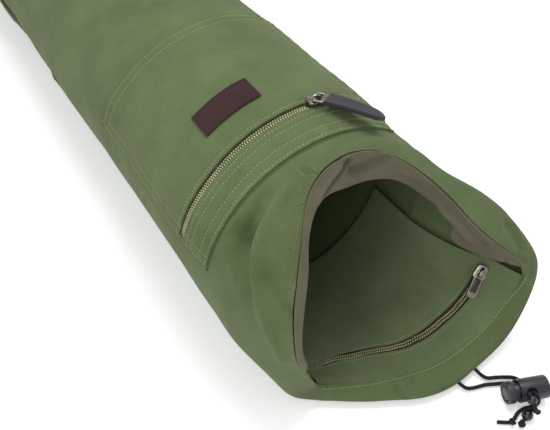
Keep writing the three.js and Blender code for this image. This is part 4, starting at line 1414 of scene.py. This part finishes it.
def cross_pin(radius, along):
    bpy.ops.object.select_all(action="DESELECT")
    bpy.ops.mesh.primitive_cylinder_add(vertices=48, radius=radius, depth=0.03, location=(along, 0, 0))
    pin = bpy.context.object
    bpy.ops.object.transform_apply(location=True, rotation=True, scale=True)
    return pin


lock_x, lock_z = LOCK_ALONG, HOLE_ALONG.normalized()
lock_y = lock_z.cross(lock_x)
lock_matrix = Matrix([lock_x, lock_y, lock_z]).transposed().to_4x4()
lock_matrix.translation = LOCK_CAP * MM
HOLE_AT = HOLE_FROM_CAP * MM
BARREL_RADIUS, BARREL_WALL, BARREL_DEEP = 0.007, 0.0014, 0.0158
BARREL_FROM, BARREL_TO = 0.0075, 0.0253
HOLE_RADIUS = 0.0035
CAP_RADIUS, CAP_LONG, CAP_BORDER = 0.0068, 0.0041, 0.0014
GROOVE_SIDE, GROOVE_WIDE, GROOVE_DEEP = 0.0003, 0.0005, 0.0009
STEM_RADIUS, STEM_FROM, STEM_TO = 0.0052, 0.0035, 0.0191
SLOT_WIDE = 0.0041

barrel = lathe(BARREL_RADIUS, BARREL_FROM, BARREL_TO)
select_faces(barrel, lambda face: face.normal.x < -0.9)
bpy.ops.mesh.inset(thickness=BARREL_WALL, depth=0)
bpy.ops.mesh.extrude_region_move(TRANSFORM_OT_translate={"value": (BARREL_DEEP, 0, 0)})
leave()
cut(barrel, cross_pin(HOLE_RADIUS, HOLE_AT))
modify(barrel, "BEVEL", width=0.0006, segments=4, limit_method="ANGLE", angle_limit=math.radians(50))
put(barrel, lock_matrix, "cord_lock_barrel_moulded", lock_black, "bag")
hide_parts("cord_lock_barrel")

plunger = lathe(CAP_RADIUS, 0, CAP_LONG)
select_faces(plunger, lambda face: face.normal.x < -0.9)
bpy.ops.mesh.inset(thickness=CAP_BORDER, depth=0)
bpy.ops.mesh.inset(thickness=GROOVE_SIDE, depth=-GROOVE_DEEP)
bpy.ops.mesh.inset(thickness=GROOVE_WIDE, depth=0)
bpy.ops.mesh.inset(thickness=GROOVE_SIDE, depth=GROOVE_DEEP)
leave()
modify(plunger, "BEVEL", width=0.0005, segments=3, limit_method="ANGLE", angle_limit=math.radians(50))
stem = lathe(STEM_RADIUS, STEM_FROM, STEM_TO)
slot_from, slot_to = HOLE_AT - 0.0063, HOLE_AT + 0.0033
cut(stem, block((slot_to - slot_from, SLOT_WIDE, 0.021), ((slot_from + slot_to) / 2, 0, 0)))
modify(stem, "BEVEL", width=0.0003, segments=2, limit_method="ANGLE", angle_limit=math.radians(50))
put(joined([plunger, stem]), lock_matrix, "cord_lock_plunger_moulded", lock_black, "lock_plunger")
plunger = bpy.data.objects["cord_lock_plunger_moulded"]
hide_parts("cord_lock_plunger")
tell(barrel, plunger)

# %% [markdown]
# ## Beads and knots
# A bead is a ball whose poles are cut off and joined by a bore. A knot is a loop that passes through
# itself three times, drawn as a tube along that line.


# %% Beads
def bored_bead(name, radius, bore, place, along):
    bpy.ops.object.select_all(action="DESELECT")
    bpy.ops.mesh.primitive_uv_sphere_add(segments=40, ring_count=24, radius=radius)
    bead = bpy.context.object
    reach = math.sqrt(radius**2 - bore**2)
    edit(bead)
    bpy.ops.mesh.select_mode(type="FACE")
    leave()
    for face in bead.data.polygons:
        face.select = abs(face.center.z) > reach
    bpy.ops.object.mode_set(mode="EDIT")
    bpy.ops.mesh.delete(type="FACE")
    bpy.ops.mesh.select_mode(type="EDGE")
    bpy.ops.mesh.select_non_manifold()
    bpy.ops.mesh.bridge_edge_loops(number_cuts=4)
    bpy.ops.mesh.select_all(action="SELECT")
    bpy.ops.mesh.normals_make_consistent(inside=False)
    leave()
    matrix = Vector((0, 0, 1)).rotation_difference(Vector(along)).to_matrix().to_4x4()
    matrix.translation = Vector(place) * MM
    return put(bead, matrix, name, bead_black, "bag")


BEAD_BORE = 0.0016
near_bead = bored_bead("cord_bead_near_polished", 0.0029, BEAD_BORE, NEAR_BEAD, NEAR_BEAD_ALONG)
far_bead = bored_bead("cord_bead_far_polished", 0.0033, BEAD_BORE, FAR_BEAD, FAR_BEAD_ALONG)
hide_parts("cord_bead_near")
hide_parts("cord_bead_far")
tell(near_bead, far_bead)


# %% Knots
def knot(name, middle, turn, size=0.0024, width=0.0017):
    t = np.linspace(0, 2 * math.pi, 90)
    loop = np.stack(
        [np.sin(t) + 2 * np.sin(2 * t), np.cos(t) - 2 * np.cos(2 * t), -1.6 * np.sin(3 * t)], axis=1
    )
    loop = loop * (size - width / 2) / 3
    spin = np.array(Matrix.Rotation(turn, 3, "Z") @ Matrix.Rotation(1.1, 3, "X"))
    return tube(name, loop @ spin.T + middle, width, 12)


KNOT_LONG = np.array([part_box("cord_knot_long")[k] for k in (0, 1)]).mean(0)
leaving = short_line[-1] - short_line[-2]
leaving /= np.linalg.norm(leaving)
KNOT_SHORT = short_line[-1] + leaving * 0.0028
KNOT_SHORT[2] = max(KNOT_SHORT[2], 0.0024)
MIDDLE_KNOT_NEAR = np.array([66.2, -379.8, 8.4]) * MM
long_knot = knot("cord_knot_long_tied", KNOT_LONG, 0.4, 0.0027, 0.002)
middle_knot = knot(
    "cord_knot_middle_tied", long_line[np.linalg.norm(long_line - MIDDLE_KNOT_NEAR, axis=1).argmin()],
    2.1, 0.0023, 0.0016,
)
short_knot = knot("cord_knot_short_tied", KNOT_SHORT, 1.3)
tail_turn = math.atan2(leaving[1], leaving[0]) - math.radians(57)
tail_way = np.array([math.cos(tail_turn), math.sin(tail_turn), 0])
tail_line = np.array([
    KNOT_SHORT + tail_way * reach + np.array([0, 0, -0.0011 - 0.00002 * step])
    for step, reach in enumerate(np.linspace(0.001, 0.0088, 16))
])
tail = tube("short_knot_tail", tail_line, 0.0024, 16)
braid(tail, tail_line)
for piece in (long_knot, middle_knot, short_knot, tail):
    piece.data.materials.append(black_cord)
    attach(piece, "bag")
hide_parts("cord_knot_long")
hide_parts("cord_knot_short")
tell(long_knot, middle_knot, short_knot, tail)

# %% Ride on the bodies, and hide the cords' solids
for piece in (body, collar, drape, inner, pocket, end, strap, label, cord_long, cord_short):
    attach(piece, "bag")
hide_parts("drawcord_long")
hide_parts("drawcord_short")

# %% [markdown]
# ## Floor and light
# A pale floor and large soft lights, as in a small studio. The floor glows a little, which keeps
# the shadows as pale as they are in a picture with a white ground.

# %% Floor and lights
bpy.ops.mesh.primitive_plane_add(size=12, location=(0, 0, -0.0004))
floor = bpy.context.object
floor.name = "studio_floor"
paper, _, paper_surface = new_material("pale_paper")
paper_surface.inputs["Base Color"].default_value = (0.9, 0.9, 0.9, 1)
paper_surface.inputs["Roughness"].default_value = 0.9
paper_surface.inputs["Emission Color"].default_value = (1, 1, 1, 1)
paper_surface.inputs["Emission Strength"].default_value = 0.28
floor.data.materials.append(paper)

world = bpy.data.worlds.new("studio")
bpy.context.scene.world = world
world.use_nodes = True
world.node_tree.nodes["Background"].inputs["Color"].default_value = (1, 1, 1, 1)
world.node_tree.nodes["Background"].inputs["Strength"].default_value = 0.72
bpy.context.scene.view_settings.view_transform = "Standard"


def soft_light(place, aim, size, power):
    bpy.ops.object.light_add(type="AREA", location=place)
    light = bpy.context.object
    light.data.shape = "DISK"
    light.data.size = size
    light.data.energy = power
    light.rotation_euler = (Vector(aim) - Vector(place)).to_track_quat("-Z", "Y").to_euler()


soft_light((0.30, 0.1, 1.35), (0, -0.15, 0.05), 0.9, 12)
soft_light((-0.9, -0.7, 0.9), (0, -0.2, 0.05), 1.0, 5)
print("floor, world and two soft lights")
